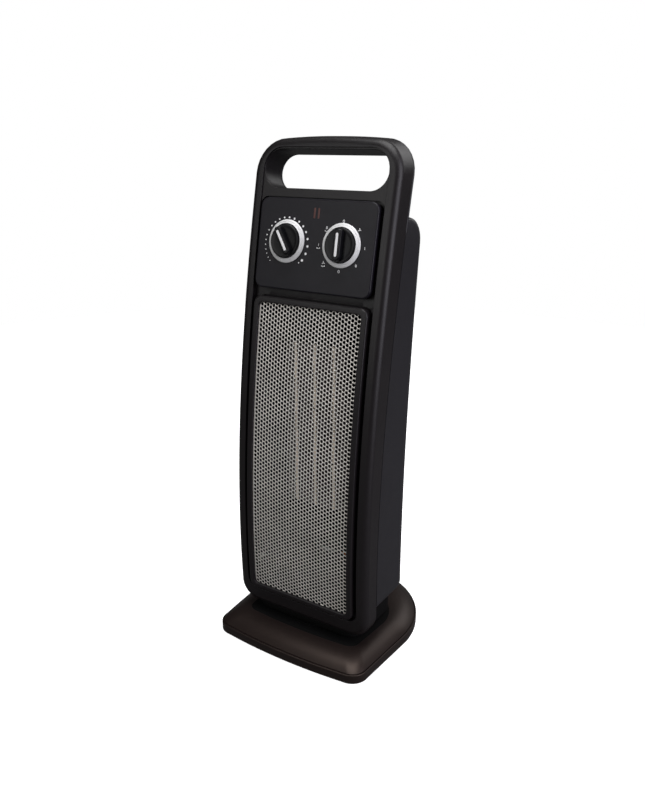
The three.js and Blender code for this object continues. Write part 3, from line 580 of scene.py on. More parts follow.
def front_shell():
    """A bowed shell with a shallow pocket, a deeper recess in it and the finger opening."""
    surface = Surface()
    rings = [on_seam(tower_outline(SEAM_ROUND), 0), on_seam(tower_outline(), -SEAM_ROUND)]
    rings += [on_front(tower_outline(inset), depth) for inset, depth in edge_round(EDGE, EDGE_STEPS)]
    rings += [on_front(pocket_outline(inset), depth) for inset, depth in lip_round(POCKET_LIP)]
    rings.append(on_front(pocket_outline(), POCKET_DEPTH))
    surface.loft(rings)

    lip, pocket = HANDLE["lip"], level(bow, POCKET_DEPTH)
    recess = recess_outline()
    over_panel = above_turn(recess)[1:-1]
    mouth = opening(lip, pocket)
    surface.fill(above_turn(pocket_outline()) + over_panel[::-1], [seen_from_front(mouth)],
                 on_surface(pocket), NET["pocket"])
    tunnel = [opening(-inset, level(bow, POCKET_DEPTH + depth)) for inset, depth in lip_round(lip)]
    tunnel += [opening(0, level(seam, -SEAM_ROUND), 1), opening(SEAM_ROUND, seam, 1)]
    surface.loft(tunnel)

    surface.loft([on_front(recess, depth) for depth in (POCKET_DEPTH, RECESS_DEPTH)])
    half_tall, corner = WINDOW["tall"] / 2, WINDOW["corner"]
    window = upright(WINDOW["half"], OUTLET_Z - half_tall, OUTLET_Z + half_tall, (corner, corner))
    surface.fill(recess, [window], on_surface(level(bow, RECESS_DEPTH)), NET["recess"])
    toe = [point for point in tower_outline(SEAM_ROUND) if point[1] < rear_low.z + TOE]
    surface.fill(toe, [], on_surface(seam), NET["recess"])
    shell = thicken(surface.piece("front_shell_skin", PAINT["shell"], out=FORWARD), WALL)
    install(shell, "tower", "shell_black", "front_shell")


def rear_ring(z, inset, back, corner):
    """The rear housing's section at one height, from the right side round the back to the left."""
    half = shell_high.x - inset
    right = [(half, seam(z) + GAP)]
    right += arc(half - corner, back - corner, corner, 0)
    return flat(mirrored(right), z)


REAR = {"underside": 8.0, "corner_shrink": 0.6, "draw_in": 2.0, "levels": 22, "shoulder_steps": 10}


def rear_tub():
    """The deep rear half, with a rounded underside and a rounded shoulder."""
    surface = Surface()
    rings = []
    for inset, rise in reversed(edge_round(REAR["underside"])):
        z = rear_low.z + rise
        rings.append(rear_ring(z, inset, rear_back(z) - inset, REAR_CORNER - inset * REAR["corner_shrink"]))
    for z in np.linspace(rear_low.z + REAR["underside"], REAR_WALL_TOP, REAR["levels"])[1:]:
        rings.append(rear_ring(z, 0, rear_back(z), REAR_CORNER))
    for i in range(REAR["shoulder_steps"]):
        a = pi / 2 * (i + 1) / REAR["shoulder_steps"]
        z = REAR_WALL_TOP + REAR_SHOULDER * sin(a)
        drop = 1 - cos(a)
        rings.append(rear_ring(z, REAR["draw_in"] * drop, rear_back(z) - REAR_SHOULDER * drop, REAR_CORNER))
    placed = surface.loft(rings, closed=False)
    surface.zip_across(placed[0])
    surface.zip_across(placed[-1])
    return surface


VENT = {"rows": 8, "low": 152, "pitch": 14, "wide": 50, "tall": 5, "x": 30}
CUTTER = {"inside": 12, "outside": 6, "flare": 0.7}  # reach either side of the back wall
WELL = {"radius": 4.0, "wall": 2, "bore_gap": 0.1, "hole": 2, "seat": 6, "floor": 4, "short": 1}
WELL_STEPS = 32
SCREW_PLACES = [centre_of(f"housing_screw_{i}") for i in range(1, 5)]


def cutter_rings(outline_at, z):
    """Rings of a tool that cuts through the back wall at a height and rounds the outer edge."""
    back, flare = rear_back(z), CUTTER["flare"]
    steps = [(0, -CUTTER["inside"])]
    steps += [(-inset, -depth) for inset, depth in reversed(lip_round(flare))]
    steps.append((flare, CUTTER["outside"]))
    return [[(x, back + behind, height) for x, height in outline_at(grow)] for grow, behind in steps]


def back_cutters():
    """Tools for two columns of vents and for the mouths of the screw wells."""
    tools = Surface()

    def vent(x, z):
        return lambda grow: stadium(VENT["wide"] + 2 * grow, VENT["tall"] + 2 * grow, x, z)

    def well(x, z):
        return lambda grow: circle(x, z, WELL["radius"] + grow, WELL_STEPS)

    for row in range(VENT["rows"]):
        z = VENT["low"] + row * VENT["pitch"]
        for x in (-VENT["x"], VENT["x"]):
            tools.solid(cutter_rings(vent(x, z), z))
    for place in SCREW_PLACES:
        tools.solid(cutter_rings(well(place.x, place.z), place.z))
    return tools.piece("back_cutters", PAINT["rear"])


PLATE = {"thick": 2.8, "edge": 1.6, "lip": 1.2, "overlap": 12, "low_corner": 1}


def plate_outline(inset):
    corners = (PLATE["low_corner"], TOWER["corners"][1])
    return upright(shell_high.x, REAR_TOP - PLATE["overlap"], shell_high.z, corners, TOWER["crown"], inset)


def closing_plate():
    """The plate that closes the back of the handle."""
    thick, edge = PLATE["thick"], PLATE["edge"]
    surface = Surface()
    rings = [on_seam(plate_outline(SEAM_ROUND), GAP), on_seam(plate_outline(0), GAP + SEAM_ROUND)]
    rings += [on_seam(plate_outline(inset), GAP + thick - depth) for inset, depth in edge_round(edge)]
    surface.loft(rings)
    tunnel = [opening(SEAM_ROUND, level(seam, GAP), 1), opening(0, level(seam, GAP + SEAM_ROUND), 1)]
    tunnel += [opening(-inset, level(seam, GAP + thick - depth), 1)
               for inset, depth in reversed(lip_round(PLATE["lip"]))]
    surface.loft(tunnel)
    for offset, ring, behind in ((SEAM_ROUND, tunnel[0], GAP), (edge, tunnel[-1], GAP + thick)):
        surface.fill(plate_outline(offset), [seen_from_front(ring)],
                     on_surface(level(seam, behind)), NET["plate"])
    return surface.piece("closing_plate", PAINT["rear"])


def screw_wells():
    """Tubes from the back wall down to each housing screw's seat."""
    wells = Surface()
    outside, bore = WELL["radius"] + WELL["wall"], WELL["radius"] - WELL["bore_gap"]
    hole = WELL["hole"]
    for place in SCREW_PLACES:
        seat = seam(place.z) + GAP + WELL["seat"]
        floor = seat - WELL["floor"]
        back = rear_back(place.z) - WELL["short"]
        profile = [(outside, floor), (outside, back), (bore, back),
                   (bore, seat), (hole, seat), (hole, floor)]
        wells.loft([[(x, y, z) for x, z in circle(place.x, place.z, radius, WELL_STEPS)]
                    for radius, y in profile], loop=True)
    return wells.piece("screw_wells", PAINT["rear"])


def rear_housing():
    """The tub with its vents, joined to the handle's back and the screw wells."""
    tub = thicken(rear_tub().piece("rear_housing_skin", PAINT["rear"], out=BACKWARD), WALL)
    plate, wells, cutters = closing_plate(), screw_wells(), back_cutters()
    rework(tub, clean_cut=[cutters], add=[plate, wells])
    install(tub, "tower", "shell_black", "rear_housing")


# -------- outlet

BEZEL = {"proud": 2.7, "lip": 2.4, "corner": 8, "outer_edge": 1.6, "inner_edge": 1.2, "seat": 2.3}
BEZEL_STEPS = 6


def grille_frame():
    """The bezel: it stands proud of the front, and the sheet sits in a seat behind its lip."""
    proud, back = BEZEL["proud"], RECESS_DEPTH - GAP
    seat, wider = BEZEL["lip"] - proud, BEZEL["seat"]
    half_tall = OUTLET["tall"] / 2

    def outer(inset):
        return upright(bezel_high.x, bezel_low.z, bezel_high.z, (BEZEL["corner"],) * 2, inset=inset)

    def inner(inset):
        low, high = OUTLET_Z - half_tall, OUTLET_Z + half_tall
        return upright(OUTLET["half"], low, high, (OUTLET["corner"],) * 2, inset=inset)

    rings = [on_front(outer(0), back)]
    rings += [on_front(outer(inset), depth - proud)
              for inset, depth in edge_round(BEZEL["outer_edge"], BEZEL_STEPS)]
    rings += [on_front(inner(inset), depth - proud) for inset, depth in lip_round(BEZEL["inner_edge"])]
    rings += [on_front(inner(-grow), depth) for grow, depth in ((0, seat), (wider, seat), (wider, back))]
    surface = Surface()
    surface.loft(rings, loop=True)
    install(surface.piece("bezel", PAINT["shell"]), "tower", "shell_black", "grille_frame")


HOLES = {"columns": 33, "across": 3.315, "up": 4.0, "radius": 1.64, "sheet": 0.4, "margin": 2}


def perforated_sheet():
    """Round holes in staggered columns, each lofted in from its cell's border, point by point."""
    across, up = HOLES["across"], HOLES["up"]
    w, h = across / 2, up / 2
    border = [(w, 0), (w, h / 2), (w, h), (0, h), (-w, h), (-w, h / 2),
              (-w, 0), (-w, -h / 2), (-w, -h), (0, -h), (w, -h), (w, -h / 2)]
    rim = circle(0, 0, HOLES["radius"], len(border))
    surface = Surface()
    low, high, half = sheet_low.z, sheet_high.z, sheet_high.x
    rows = int((high - low - HOLES["margin"]) / up)
    for column in range(HOLES["columns"]):
        x = (column - (HOLES["columns"] - 1) / 2) * across
        stagger = h if column % 2 else 0
        first = OUTLET_Z - (rows - 1) * h - stagger
        count = rows + (column % 2)
        for row in range(count):
            z = first + row * up
            surface.loft([on_front([(x + right, z + rise) for right, rise in shape], 0)
                          for shape in (border, rim)])
        for edge_z, end_z in ((low, first - h), (high, first + (count - 1) * up + h)):
            corners = [(x - w, edge_z), (x + w, edge_z), (x + w, end_z), (x - w, end_z)]
            surface.faces.append(tuple(surface.ring(on_front(corners, 0))))
    block = HOLES["columns"] * w
    for side in (-1, 1):
        heights = np.linspace(low, high, SIDE_STEPS)
        inner = surface.ring(on_front([(side * block, z) for z in heights], 0))
        outer = surface.ring(on_front([(side * half, z) for z in heights], 0))
        surface.band(inner, outer, closed=False)
    sheet = surface.piece("perforated_sheet", PAINT["sheet"], out=FORWARD)
    thicken(sheet, HOLES["sheet"])
    install(sheet, "tower", "sheet_steel", "outlet_grille")


# -------- control panel

DIALS = {"thermostat": joint_frame("thermostat_turn"), "selector": joint_frame("selector_turn")}
REST_TURN = {"thermostat": radians(33), "selector": 0.0}
PANEL = {"up": -2.5, "tall": 81, "corner": 8, "edge": 1.5, "skirt": 5.0, "wall": 2.0, "window": 2.2}


def panel_frame():
    """The panel's face: x to the right, y up the panel, z out of it."""
    matrix = DIALS["selector"].copy()
    matrix.translation = (DIALS["thermostat"].translation + DIALS["selector"].translation) / 2
    return matrix @ Matrix.Translation((0, PANEL["up"], 0))


PILOT = {"x": 2.2, "up": 28.8, "wide": 2, "tall": 9, "corner": 0.4, "gap": 0.06, "deep": 2.5,
         "proud": 0.05, "edge": 0.12}


def pilot_outline(inset, x=0.0):
    wide, tall = PILOT["wide"] - 2 * inset, PILOT["tall"] - 2 * inset
    return rounded(wide, tall, PILOT["corner"] - inset / 2, x, PILOT["up"], steps=3)


def control_panel():
    """A flat plate with softened edges and a window for each pilot bar."""
    tilt = atan(bow.deriv()((panel_low.z + panel_high.z) / 2))
    wide, tall = panel_high.x - panel_low.x, PANEL["tall"] / cos(tilt)
    edge = PANEL["edge"]

    def outline(inset):
        return rounded(wide - 2 * inset, tall - 2 * inset, PANEL["corner"] - inset)

    surface = Surface()
    rings = [flat(outline(0), -PANEL["skirt"])]
    rings += [flat(outline(inset), -depth) for inset, depth in edge_round(edge)]
    surface.loft(rings)
    windows = [pilot_outline(-PILOT["gap"], x) for x in (-PILOT["x"], PILOT["x"])]
    surface.fill(outline(edge), windows, lambda x, y: (x, y, 0), NET["panel"])
    for window in windows:
        surface.loft([flat(window, 0), flat(window, -PANEL["window"])])
    panel = surface.piece("panel_face", PAINT["panel"], panel_frame(), out=FORWARD)
    thicken(panel, PANEL["wall"])
    install(panel, "tower", "panel_black", "control_panel")


def pilot_lens(name, x):
    """A slim dark-red bar with softened edges, flush with the panel."""
    rings = [flat(pilot_outline(0, x), -PILOT["deep"])]
    rings += [flat(pilot_outline(inset, x), PILOT["proud"] - depth)
              for inset, depth in edge_round(PILOT["edge"], 3)]
    install(solid_piece(f"{name}_bar", PAINT["lens"], rings, panel_frame()), "tower", "lens_red", name)


# Lathe outlines of the dials: radius, and height over the panel.
RING = [(15.7, 0.3), (19.05, 0.3), (19.35, 0.6), (19.35, 1.0), (19.1, 1.35), (17.75, 2.05),
        (17.6, 1.9), (17.45, 1.9), (17.3, 2.25), (16.3, 2.9), (15.95, 3.0), (15.7, 2.75)]
SKIRT = [(3.3, 0.4), (14.9, 0.4), (15.2, 0.7), (15.2, 3.9), (15.05, 4.5), (14.6, 4.9),
         (13.9, 5.0), (12.6, 4.75), (11, 4.6), (3.3, 4.6)]


def dial_ring(name, matrix):
    """A bright ring in two cones with a fine groove between them."""
    ring = turned(RING).piece(f"{name}_bezel", PAINT["silver"], matrix)
    install(ring, "tower", "silver_trim", f"{name}_ring")


GRIP = {"wide": 8.4, "long": 28, "low": 4.0, "face": 4.9, "top": 9.5, "sunk": 0.2, "draft": 0.35,
        "edge": 1.1}
POINTER = {"wide": 2.5, "long": 20.5, "deep": 0.2, "shoulder": 0.02, "top": 0.06, "edge": 0.08}


def bar_outline(bar, inset, steps):
    return stadium(bar["wide"] - 2 * inset, bar["long"] - 2 * inset, steps=steps)


def dial_knob(name, matrix):
    """A round skirt with a raised, round-ended grip and its hollow for the shaft."""
    disc = turned(SKIRT)
    levels = [(GRIP["sunk"], GRIP["low"]), (0, GRIP["face"])]
    levels += [(GRIP["draft"] + inset, GRIP["top"] - depth) for inset, depth in edge_round(GRIP["edge"], 6)]
    disc.solid([flat(bar_outline(GRIP, inset, 12), z) for inset, z in levels])
    turn = matrix @ Matrix.Rotation(REST_TURN[name], 4, "Z")
    knob = disc.piece(f"{name}_grip", PAINT["knob"], turn)
    install(knob, f"{name}_dial", "knob_black", f"{name}_knob")

    levels = [(0, -POINTER["deep"]), (0, POINTER["shoulder"]), (POINTER["edge"], POINTER["top"])]
    rings = [flat(bar_outline(POINTER, inset, 5), GRIP["top"] + rise) for inset, rise in levels]
    install(solid_piece(f"{name}_pointer", PAINT["mark"], rings, turn), f"{name}_dial", None)


class Print(Surface):
    """Thin printed marks on the panel, laid out in its own plane."""

    THICK = 0.05

    def shape(self, outline):
        self.solid([flat(outline, -self.THICK), flat(outline, self.THICK)])

    def dot(self, x, y, radius):
        self.shape(circle(x, y, radius, 16))

    def stroke(self, points, width):
        """A line of even width through the points."""
        path = [Vector(p) for p in points]
        left, right = [], []
        for i, point in enumerate(path):
            along = (path[min(i + 1, len(path) - 1)] - path[max(i - 1, 0)]).normalized()
            side = Vector((-along.y, along.x)) * width / 2
            left.append(tuple(point + side))
            right.append(tuple(point - side))
        for i in range(len(path) - 1):
            self.shape([right[i], right[i + 1], left[i + 1], left[i]])


MARK = {"line": 0.42, "half_tall": 1.2, "pair": 0.5, "zero_half": (0.75, 1.15), "zero_steps": 20,
        "blades": 3, "blade_line": 0.6, "swing_radius": 2.0, "swing_drop": 1.4, "swing_line": 0.35,
        "swing_start": 215, "swing_sweep": 110, "arrow_line": 0.3}
BLADE = ((0.2, 0), (0.8, 0.25), (1.5, 0.1))  # radius, and bend in radians
ARROW = ((-0.75, 0.1), (0, 0), (0.05, -0.8))  # outwards and up from the arrow's tip


def mark_zero(art, x, y):
    half_wide, half_tall = MARK["zero_half"]
    angles = [tau * i / MARK["zero_steps"] for i in range(MARK["zero_steps"] + 1)]
    art.stroke([(x + half_wide * cos(a), y + half_tall * sin(a)) for a in angles], MARK["line"])


def mark_low(art, x, y):
    art.stroke([(x, y - MARK["half_tall"]), (x, y + MARK["half_tall"])], MARK["line"])


def mark_high(art, x, y):
    for side in (-1, 1):
        mark_low(art, x + side * MARK["pair"], y)


def mark_fan(art, x, y):
    for i in range(MARK["blades"]):
        a = pi / 2 + tau * i / MARK["blades"]
        blade = [(x + r * cos(a + bend), y + r * sin(a + bend)) for r, bend in BLADE]
        art.stroke(blade, MARK["blade_line"])


def mark_swing(art, x, y):
    """A short arc with an arrow head at each end."""
    curve = arc(x, y, MARK["swing_radius"], radians(MARK["swing_start"]), radians(MARK["swing_sweep"]), 10)
    art.stroke(curve, MARK["swing_line"])
    for (tip_x, tip_y), side in ((curve[0], -1), (curve[-1], 1)):
        art.stroke([(tip_x + side * out, tip_y + up) for out, up in ARROW], MARK["arrow_line"])


DOTS = {"count": 21, "x": -29.8, "y": 0.4, "ring": 23.4, "start": -135, "sweep": 261, "even": 0.69,
        "small": 0.42, "large": 1.15, "last": 0.55, "last_on": 10, "last_in": 1}
MARKS = {"x": 28.9, "y": 1.7, "across": 23.7, "up": 21.6}


def growing_dots(art):
    """Dots round the thermostat that grow in size and spacing from cool to hot, and a last small one."""

    def dot(angle, ring, radius):
        art.dot(DOTS["x"] + ring * sin(angle), DOTS["y"] + ring * cos(angle), radius)

    for i in range(DOTS["count"]):
        share = i / (DOTS["count"] - 1)
        turn = DOTS["sweep"] * share * (DOTS["even"] + (1 - DOTS["even"]) * share)
        radius = DOTS["small"] + (DOTS["large"] - DOTS["small"]) * share
        dot(radians(DOTS["start"] + turn), DOTS["ring"], radius)
    end = DOTS["start"] + DOTS["sweep"] + DOTS["last_on"]
    dot(radians(end), DOTS["ring"] - DOTS["last_in"], DOTS["last"])


def selector_marks(art):
    """Off, fan, low and high heat, then the same again with the swing, clockwise from the top."""
    draws = [mark_zero, mark_fan, mark_low, mark_high] * 2
    for i, draw in enumerate(draws):
        a = tau * i / len(draws)
        x, y = MARKS["x"] + MARKS["across"] * sin(a), MARKS["y"] + MARKS["up"] * cos(a)
        draw(art, x, y)
        if i > len(draws) / 2:
            mark_swing(art, x, y - MARK["swing_drop"])


def printed_marks():
    art = Print()
    growing_dots(art)
    selector_marks(art)
    lifted = panel_frame() @ Matrix.Translation((0, 0, Print.THICK))
    install(art.piece("panel_print", PAINT["mark"], lifted), "tower", None)


# -------- heating core and blower

FINS = {"turns": 62, "strip": 0.14, "rail": 0.8, "sharp": 25}
STONE = {"long": 35, "least": 7, "joint": 1.0, "corner": 0.6, "soft": 0.4}
FIRST_JOINTS = (22, 31, 13)  # up each bar, so that the joints don't line up


def fin_pack(name):
    """One thin strip folded to and fro between two side rails."""
    low, high = span(name)
    strip, rail = FINS["strip"], FINS["rail"]
    sides = (high.x - rail, low.x + rail)
    rings = []
    for i, z in enumerate(np.linspace(low.z + 2 * strip, high.z - 2 * strip, 2 * FINS["turns"] + 1)):
        section = [(low.y, z - strip), (high.y, z - strip), (high.y, z + strip), (low.y, z + strip)]
        rings.append([(sides[i % 2], y, height) for y, height in section])
    surface = Surface()
    ends = surface.loft(rings)
    caps = [ends[0], ends[-1]]
    for x0, x1 in ((low.x, low.x + rail), (high.x - rail, high.x)):
        caps += surface.loft([[(x0, low.y, z), (x1, low.y, z), (x1, high.y, z), (x0, high.y, z)]
                              for z in (low.z, high.z)])
    surface.faces += [tuple(ring) for ring in caps]
    piece = surface.piece(f"{name}_strip", PAINT["aluminium"], sharp=FINS["sharp"])
    install(piece, "tower", "aluminium", name)


def ceramic_bar(name, first_joint):
    """A column of ceramic stones with narrow joints, the first of them this far up."""
    low, high = span(name)
    wide, deep = high.x - low.x, high.y - low.y
    centre = centre_of(name)
    half_joint, soft = STONE["joint"] / 2, STONE["soft"]

    def outline(inset):
        corner = STONE["corner"] - inset / 2
        return rounded(wide - 2 * inset, deep - 2 * inset, corner, centre.x, centre.y, steps=3)

    joints = np.arange(low.z + first_joint, high.z - STONE["least"], STONE["long"])
    bottoms = [low.z, *(joints + half_joint)]
    tops = [*(joints - half_joint), high.z]
    surface = Surface()
    for bottom, top in zip(bottoms, tops):
        surface.solid([flat(outline(soft), bottom), flat(outline(0), bottom + soft),
                       flat(outline(0), top - soft), flat(outline(soft), top)])
    piece = surface.piece(f"{name}_stones", PAINT["ceramic"])
    install(piece, "tower", "ceramic", name)


# -------- base

SWING = Vector(joint_called("tower_swing")["pos_m"]) / MM
BASE = {"crown": 595, "half": 87, "corner": 17, "back_r": base_high.x, "hole": 34.2}
BASE_STEPS = 12
BASE_BACK_Y = base_high.y - BASE["back_r"]
TOP_FLAT = {"half": 64, "front": -57, "back": 38}
WALL_TOP, CREASE, SKIN = 10.5, 11.0, 2.4
WALL_EDGE = 0.8
PILLOW = 3  # how steeply the dome starts at the crease
DOME_INSET = 2
DOME_SHARES = (0, 0.02, 0.05, 0.09, 0.14, 0.2, 0.28, 0.38, 0.5, 0.64, 0.8, 0.92, 1)
DOME_SHARES_INSIDE = (1, 0.5, 0.25, 0.1)
WALL_FOOT = [(SKIN, 0), (0.5, 0), (0.15, 0.2), (0, 0.6)]  # inset, and height over the floor edge
WALL_GROOVE = [(1.3, 0), (1.5, 0.25), (1.6, 1.1), (2.0, 1.1)]  # inset, and depth under the wall's top
INSIDE_DROP = 0.6  # of the wall's inside, under the cover


def base_outline():
    """(x, y, outward x, outward y) round the base: bowed front, round corners, half-round back."""
    crown, half, corner, back_r = BASE["crown"], BASE["half"], BASE["corner"], BASE["back_r"]
    straight = half - corner
    shares = np.linspace(0, 1, BASE_STEPS + 1)
    right = [(x, base_low.y + x * x / (2 * crown), x / crown, -1)
             for x in np.linspace(0, straight, BASE_STEPS + 1)[:-1]]
    corner_y = base_low.y + straight ** 2 / (2 * crown) + corner
    for share in shares:
        a = pi / 2 * (share - 1)
        right.append((straight + corner * cos(a), corner_y + corner * sin(a), cos(a), sin(a)))
    for share in shares[1:-1]:
        right.append((half + (back_r - half) * share, corner_y + (BASE_BACK_Y - corner_y) * share, 1, 0))
    for share in np.linspace(0, 1, 2 * BASE_STEPS + 1):
        a = pi / 2 * share
        right.append((back_r * cos(a), BASE_BACK_Y + back_r * sin(a), cos(a), sin(a)))
    left = [(-x, y, -nx, ny) for x, y, nx, ny in reversed(right[1:-1])]
    return right + left


def base_wall(inset, z):
    return [(x - inset * nx, y - inset * ny, z) for x, y, nx, ny in base_outline()]


def base_dome(share, drop):
    """The top's pillow at a share of the way from the crease in to the flat."""
    rise = 1 - (1 - share) ** PILLOW
    z = CREASE + (base_high.z - CREASE) * rise - drop
    ring = []
    for (x, y, _, _), (wx, wy, _) in zip(base_outline(), base_wall(DOME_INSET + drop, z)):
        along = (y - base_low.y) / (base_high.y - base_low.y)
        fx = x * TOP_FLAT["half"] / BASE["back_r"]
        fy = TOP_FLAT["front"] + (TOP_FLAT["back"] - TOP_FLAT["front"]) * along
        ring.append((wx + (fx - wx) * share, wy + (fy - wy) * share, z))
    return ring


def base_hole(z):
    """The round hole for the neck, with a point in the direction of each point of the outline."""
    angles = [atan2(y - SWING.y, x) for x, y, _, _ in base_outline()]
    return [(BASE["hole"] * cos(a), SWING.y + BASE["hole"] * sin(a), z) for a in angles]


BASE_SHARP = 40
GLAND = {"steps": 32, "past": 5}


def gland_bore():
    """A tool for the cord gland's hole in the back wall."""
    low, high = span("cord_gland")
    hole = circle(0, (low.z + high.z) / 2, (high.x - low.x) / 2 + GAP, GLAND["steps"])
    ends = (low.y - GLAND["past"], high.y + GLAND["past"])
    return solid_piece("gland_bore", PAINT["base"], [[(x, y, z) for x, z in hole] for y in ends])


def base_shell():
    """The base's wall, the groove round its top and the domed cover, hollow underneath."""
    rings = [base_wall(inset, base_low.z + rise) for inset, rise in WALL_FOOT]
    rings += [base_wall(inset, WALL_TOP - drop) for inset, drop in edge_round(WALL_EDGE, 5) + WALL_GROOVE]
    rings += [base_dome(share, 0) for share in DOME_SHARES]
    rings += [base_hole(base_high.z), base_hole(base_high.z - SKIN)]
    rings += [base_dome(share, SKIN) for share in DOME_SHARES_INSIDE]
    rings.append(base_wall(SKIN, WALL_TOP - SKIN - INSIDE_DROP))
    surface = Surface()
    surface.loft(rings, loop=True)
    shell = surface.piece("base_cover", PAINT["base"], sharp=BASE_SHARP)
    rework(shell, cut=[gland_bore()], sharp=BASE_SHARP)
    # the flat top's black is partly a black inset and partly painted shade under the tower
    black_flat_top_inset_and_shade(shell)
    install(shell, "base", "base_brown", "base_shell")


LEVEL = 0.99  # a face whose normal rises this much is level


def black_flat_top_inset_and_shade(shell):
    """The flat middle, where the tower turns over the base, is matt black: partly a black inset, partly
    painted shade from the tower standing over it.
    """
    shell.data.materials.append(PAINT["inner"])
    for face in shell.data.polygons:
        if face.normal.z > LEVEL and face.center.z / MM > base_high.z - ON_FACE:
            face.material_index = 1


NECK = {"low": 21.6, "step": 27.8, "corner": 16, "wall": 2.6, "edge": 1.2, "hub": 33.4,
        "hub_bore": 30.5, "shaft": 4.5, "wires": 6, "past": 5}
TUB_EDGE, HOLLOW_EDGE = 0.6, 0.4


def rounded_block(name, x_half, front, back, low, high, corner, edge):
    """An upright block with rounded corners and softened edges, as a boolean's part."""
    turn = edge_round(edge, 4)
    levels = [(inset, low + depth) for inset, depth in reversed(turn)]
    levels += [(inset, high - depth) for inset, depth in turn]
    wide, deep, y = 2 * x_half, back - front, (back + front) / 2
    rings = [flat(rounded(wide - 2 * inset, deep - 2 * inset, corner - inset, 0, y), z)
             for inset, z in levels]
    return solid_piece(name, PAINT["inner"], rings)


def post(name, radius, low, high, y):
    return solid_piece(name, PAINT["inner"], [flat(circle(0, y, radius, 64), z) for z in (low, high)])


def neck():
    """The dark plinth under the front shell and the hollow tub that carries the tower."""
    low, high = span("neck")
    front, back = seam(TOWER["low"]) + 1, high.y
    bottom, corner, wall, past = NECK["low"], NECK["corner"], NECK["wall"], NECK["past"]
    floor = bottom + wall
    body = rounded_block("neck_cover", high.x, low.y, back, bottom, NECK["step"], corner, NECK["edge"])
    tub = rounded_block("tub", high.x, front, back, bottom, high.z, corner, TUB_EDGE)
    hub = post("hub", NECK["hub"], low.z, bottom + 1, SWING.y)
    hollow = rounded_block("hollow", high.x - wall, front + wall, back - wall, floor, high.z + 2 * past,
                           corner - wall, HOLLOW_EDGE)
    bore = post("hub_bore", NECK["hub_bore"], low.z - past, bottom, SWING.y)
    shaft = post("shaft_hole", NECK["shaft"], 0, floor + past, centre_of("swing_crank").y)
    wires = post("wire_hole", NECK["wires"], 0, floor + past, SWING.y)
    rework(body, add=[tub, hub], cut=[hollow, bore, shaft, wires])
    install(body, "tower", "inner_black", "neck")


# A foot's lathe outline under its top: radius, and height over the floor.
FOOT = [(HAIR, 0.25), (4.6, 0.25), (5.2, 0.0), (6.3, 0.0), (6.85, 0.25), (7.0, 0.6)]


def foot_pad(name):
    """A round rubber foot with a shallow dished sole."""
    centre, top = centre_of(name), span(name)[1].z
    profile = [*FOOT, (FOOT[-1][0], top), (HAIR, top)]
    place = Matrix.Translation((centre.x, centre.y, 0))
    install(turned(profile, 48).piece(f"{name}_pad", PAINT["rubber"], place), "base", "rubber", name)


SCREW = {"shank": 1.5, "steps": 32, "arm": 0.62, "half": 0.13, "taper": 0.45, "deep": 1.3, "over": 0.3}
PAN_HEAD = ((1, 0.9), (0.93, 0.45), (0.75, 0.1))  # share of the radius, depth under the top


def cross_outline(arm, half):
    outline, corners = [], [(half, half), (half, arm), (-half, arm)]
    for _ in range(4):
        outline += corners
        corners = [(-y, x) for x, y in corners]
    return outline


def cross_screw(name, body, head, long, matrix):
    """A pan head with a cross recess: its top is at the matrix's origin and faces its z."""
    low, high = span(name)
    radius, shank = (high.x - low.x) / 2, SCREW["shank"]
    profile = [(HAIR, -long), (shank, -long), (shank, -head), (radius, -head)]
    profile += [(radius * share, -depth) for share, depth in PAN_HEAD]
    surface = turned([*profile, (HAIR, 0)], SCREW["steps"])
    screw = surface.piece(f"{name}_driven", PAINT["zinc"], matrix)
    outline = cross_outline(radius * SCREW["arm"], radius * SCREW["half"])
    rings = [flat([(x * share, y * share) for x, y in outline], z)
             for share, z in ((SCREW["taper"], -SCREW["deep"]), (1, SCREW["over"]))]
    rework(screw, cut=[solid_piece("cross", PAINT["zinc"], rings, matrix)])
    install(screw, body, "zinc", name)


HOUSING_HEAD, BASE_HEAD = 2.4, 1.2


def screws():
    for i in range(1, 5):
        name = f"housing_screw_{i}"
        (low, high), centre = span(name), centre_of(name)
        outward = Matrix.Translation((centre.x, high.y, centre.z)) @ Matrix.Rotation(-pi / 2, 4, "X")
        cross_screw(name, "tower", HOUSING_HEAD, high.y - low.y, outward)
        name = f"base_screw_{i}"
        (low, high), centre = span(name), centre_of(name)
        downward = Matrix.Translation((centre.x, centre.y, low.z)) @ Matrix.Rotation(pi, 4, "X")
        cross_screw(name, "base", BASE_HEAD, high.z - low.z, downward)


# -------- CAD nodes that stay

STAYING = {
    "inner": ["thermostat_unit", "selector_unit", "heater_end_lower", "heater_end_upper", "tip_switch",
              "base_plate", "blower_wheel", "slide_ring"],
    "duct": ["duct_scroll", "duct_tongue", "motor_bracket", "thermal_cutout", "fan_motor"],
    "zinc": ["thermostat_shaft", "selector_shaft", "retaining_ring", "swing_motor"],
    "steel": ["motor_rotor"],
    "copper": ["motor_coil"],
    "rubber": ["upper_bearing", "cord_gland"],
    "glass": ["pilot_lamp_left", "pilot_lamp_right"],
    "nylon": ["swing_crank", "swing_guide", "tip_plunger", "terminal_block"],
}


BROKEN_EDGE = {"width": 0.25, "angle": 40, "weld": 1e-5}  # millimetres, degrees and metres


def dress(node, material):
    """Gives a CAD node its finish, and breaks its edges without touching its own mesh."""
    piece = frame["nodes"][node]
    piece.data.materials.clear()
    piece.data.materials.append(material)
    weld = piece.modifiers.new("weld", "WELD")
    weld.merge_threshold = BROKEN_EDGE["weld"]
    soften = piece.modifiers.new("broken_edges", "BEVEL")
    soften.width = BROKEN_EDGE["width"] * MM
    soften.segments = 2
    soften.limit_method = "ANGLE"
    soften.angle_limit = radians(BROKEN_EDGE["angle"])
    soften.use_clamp_overlap = True


# -------- studio

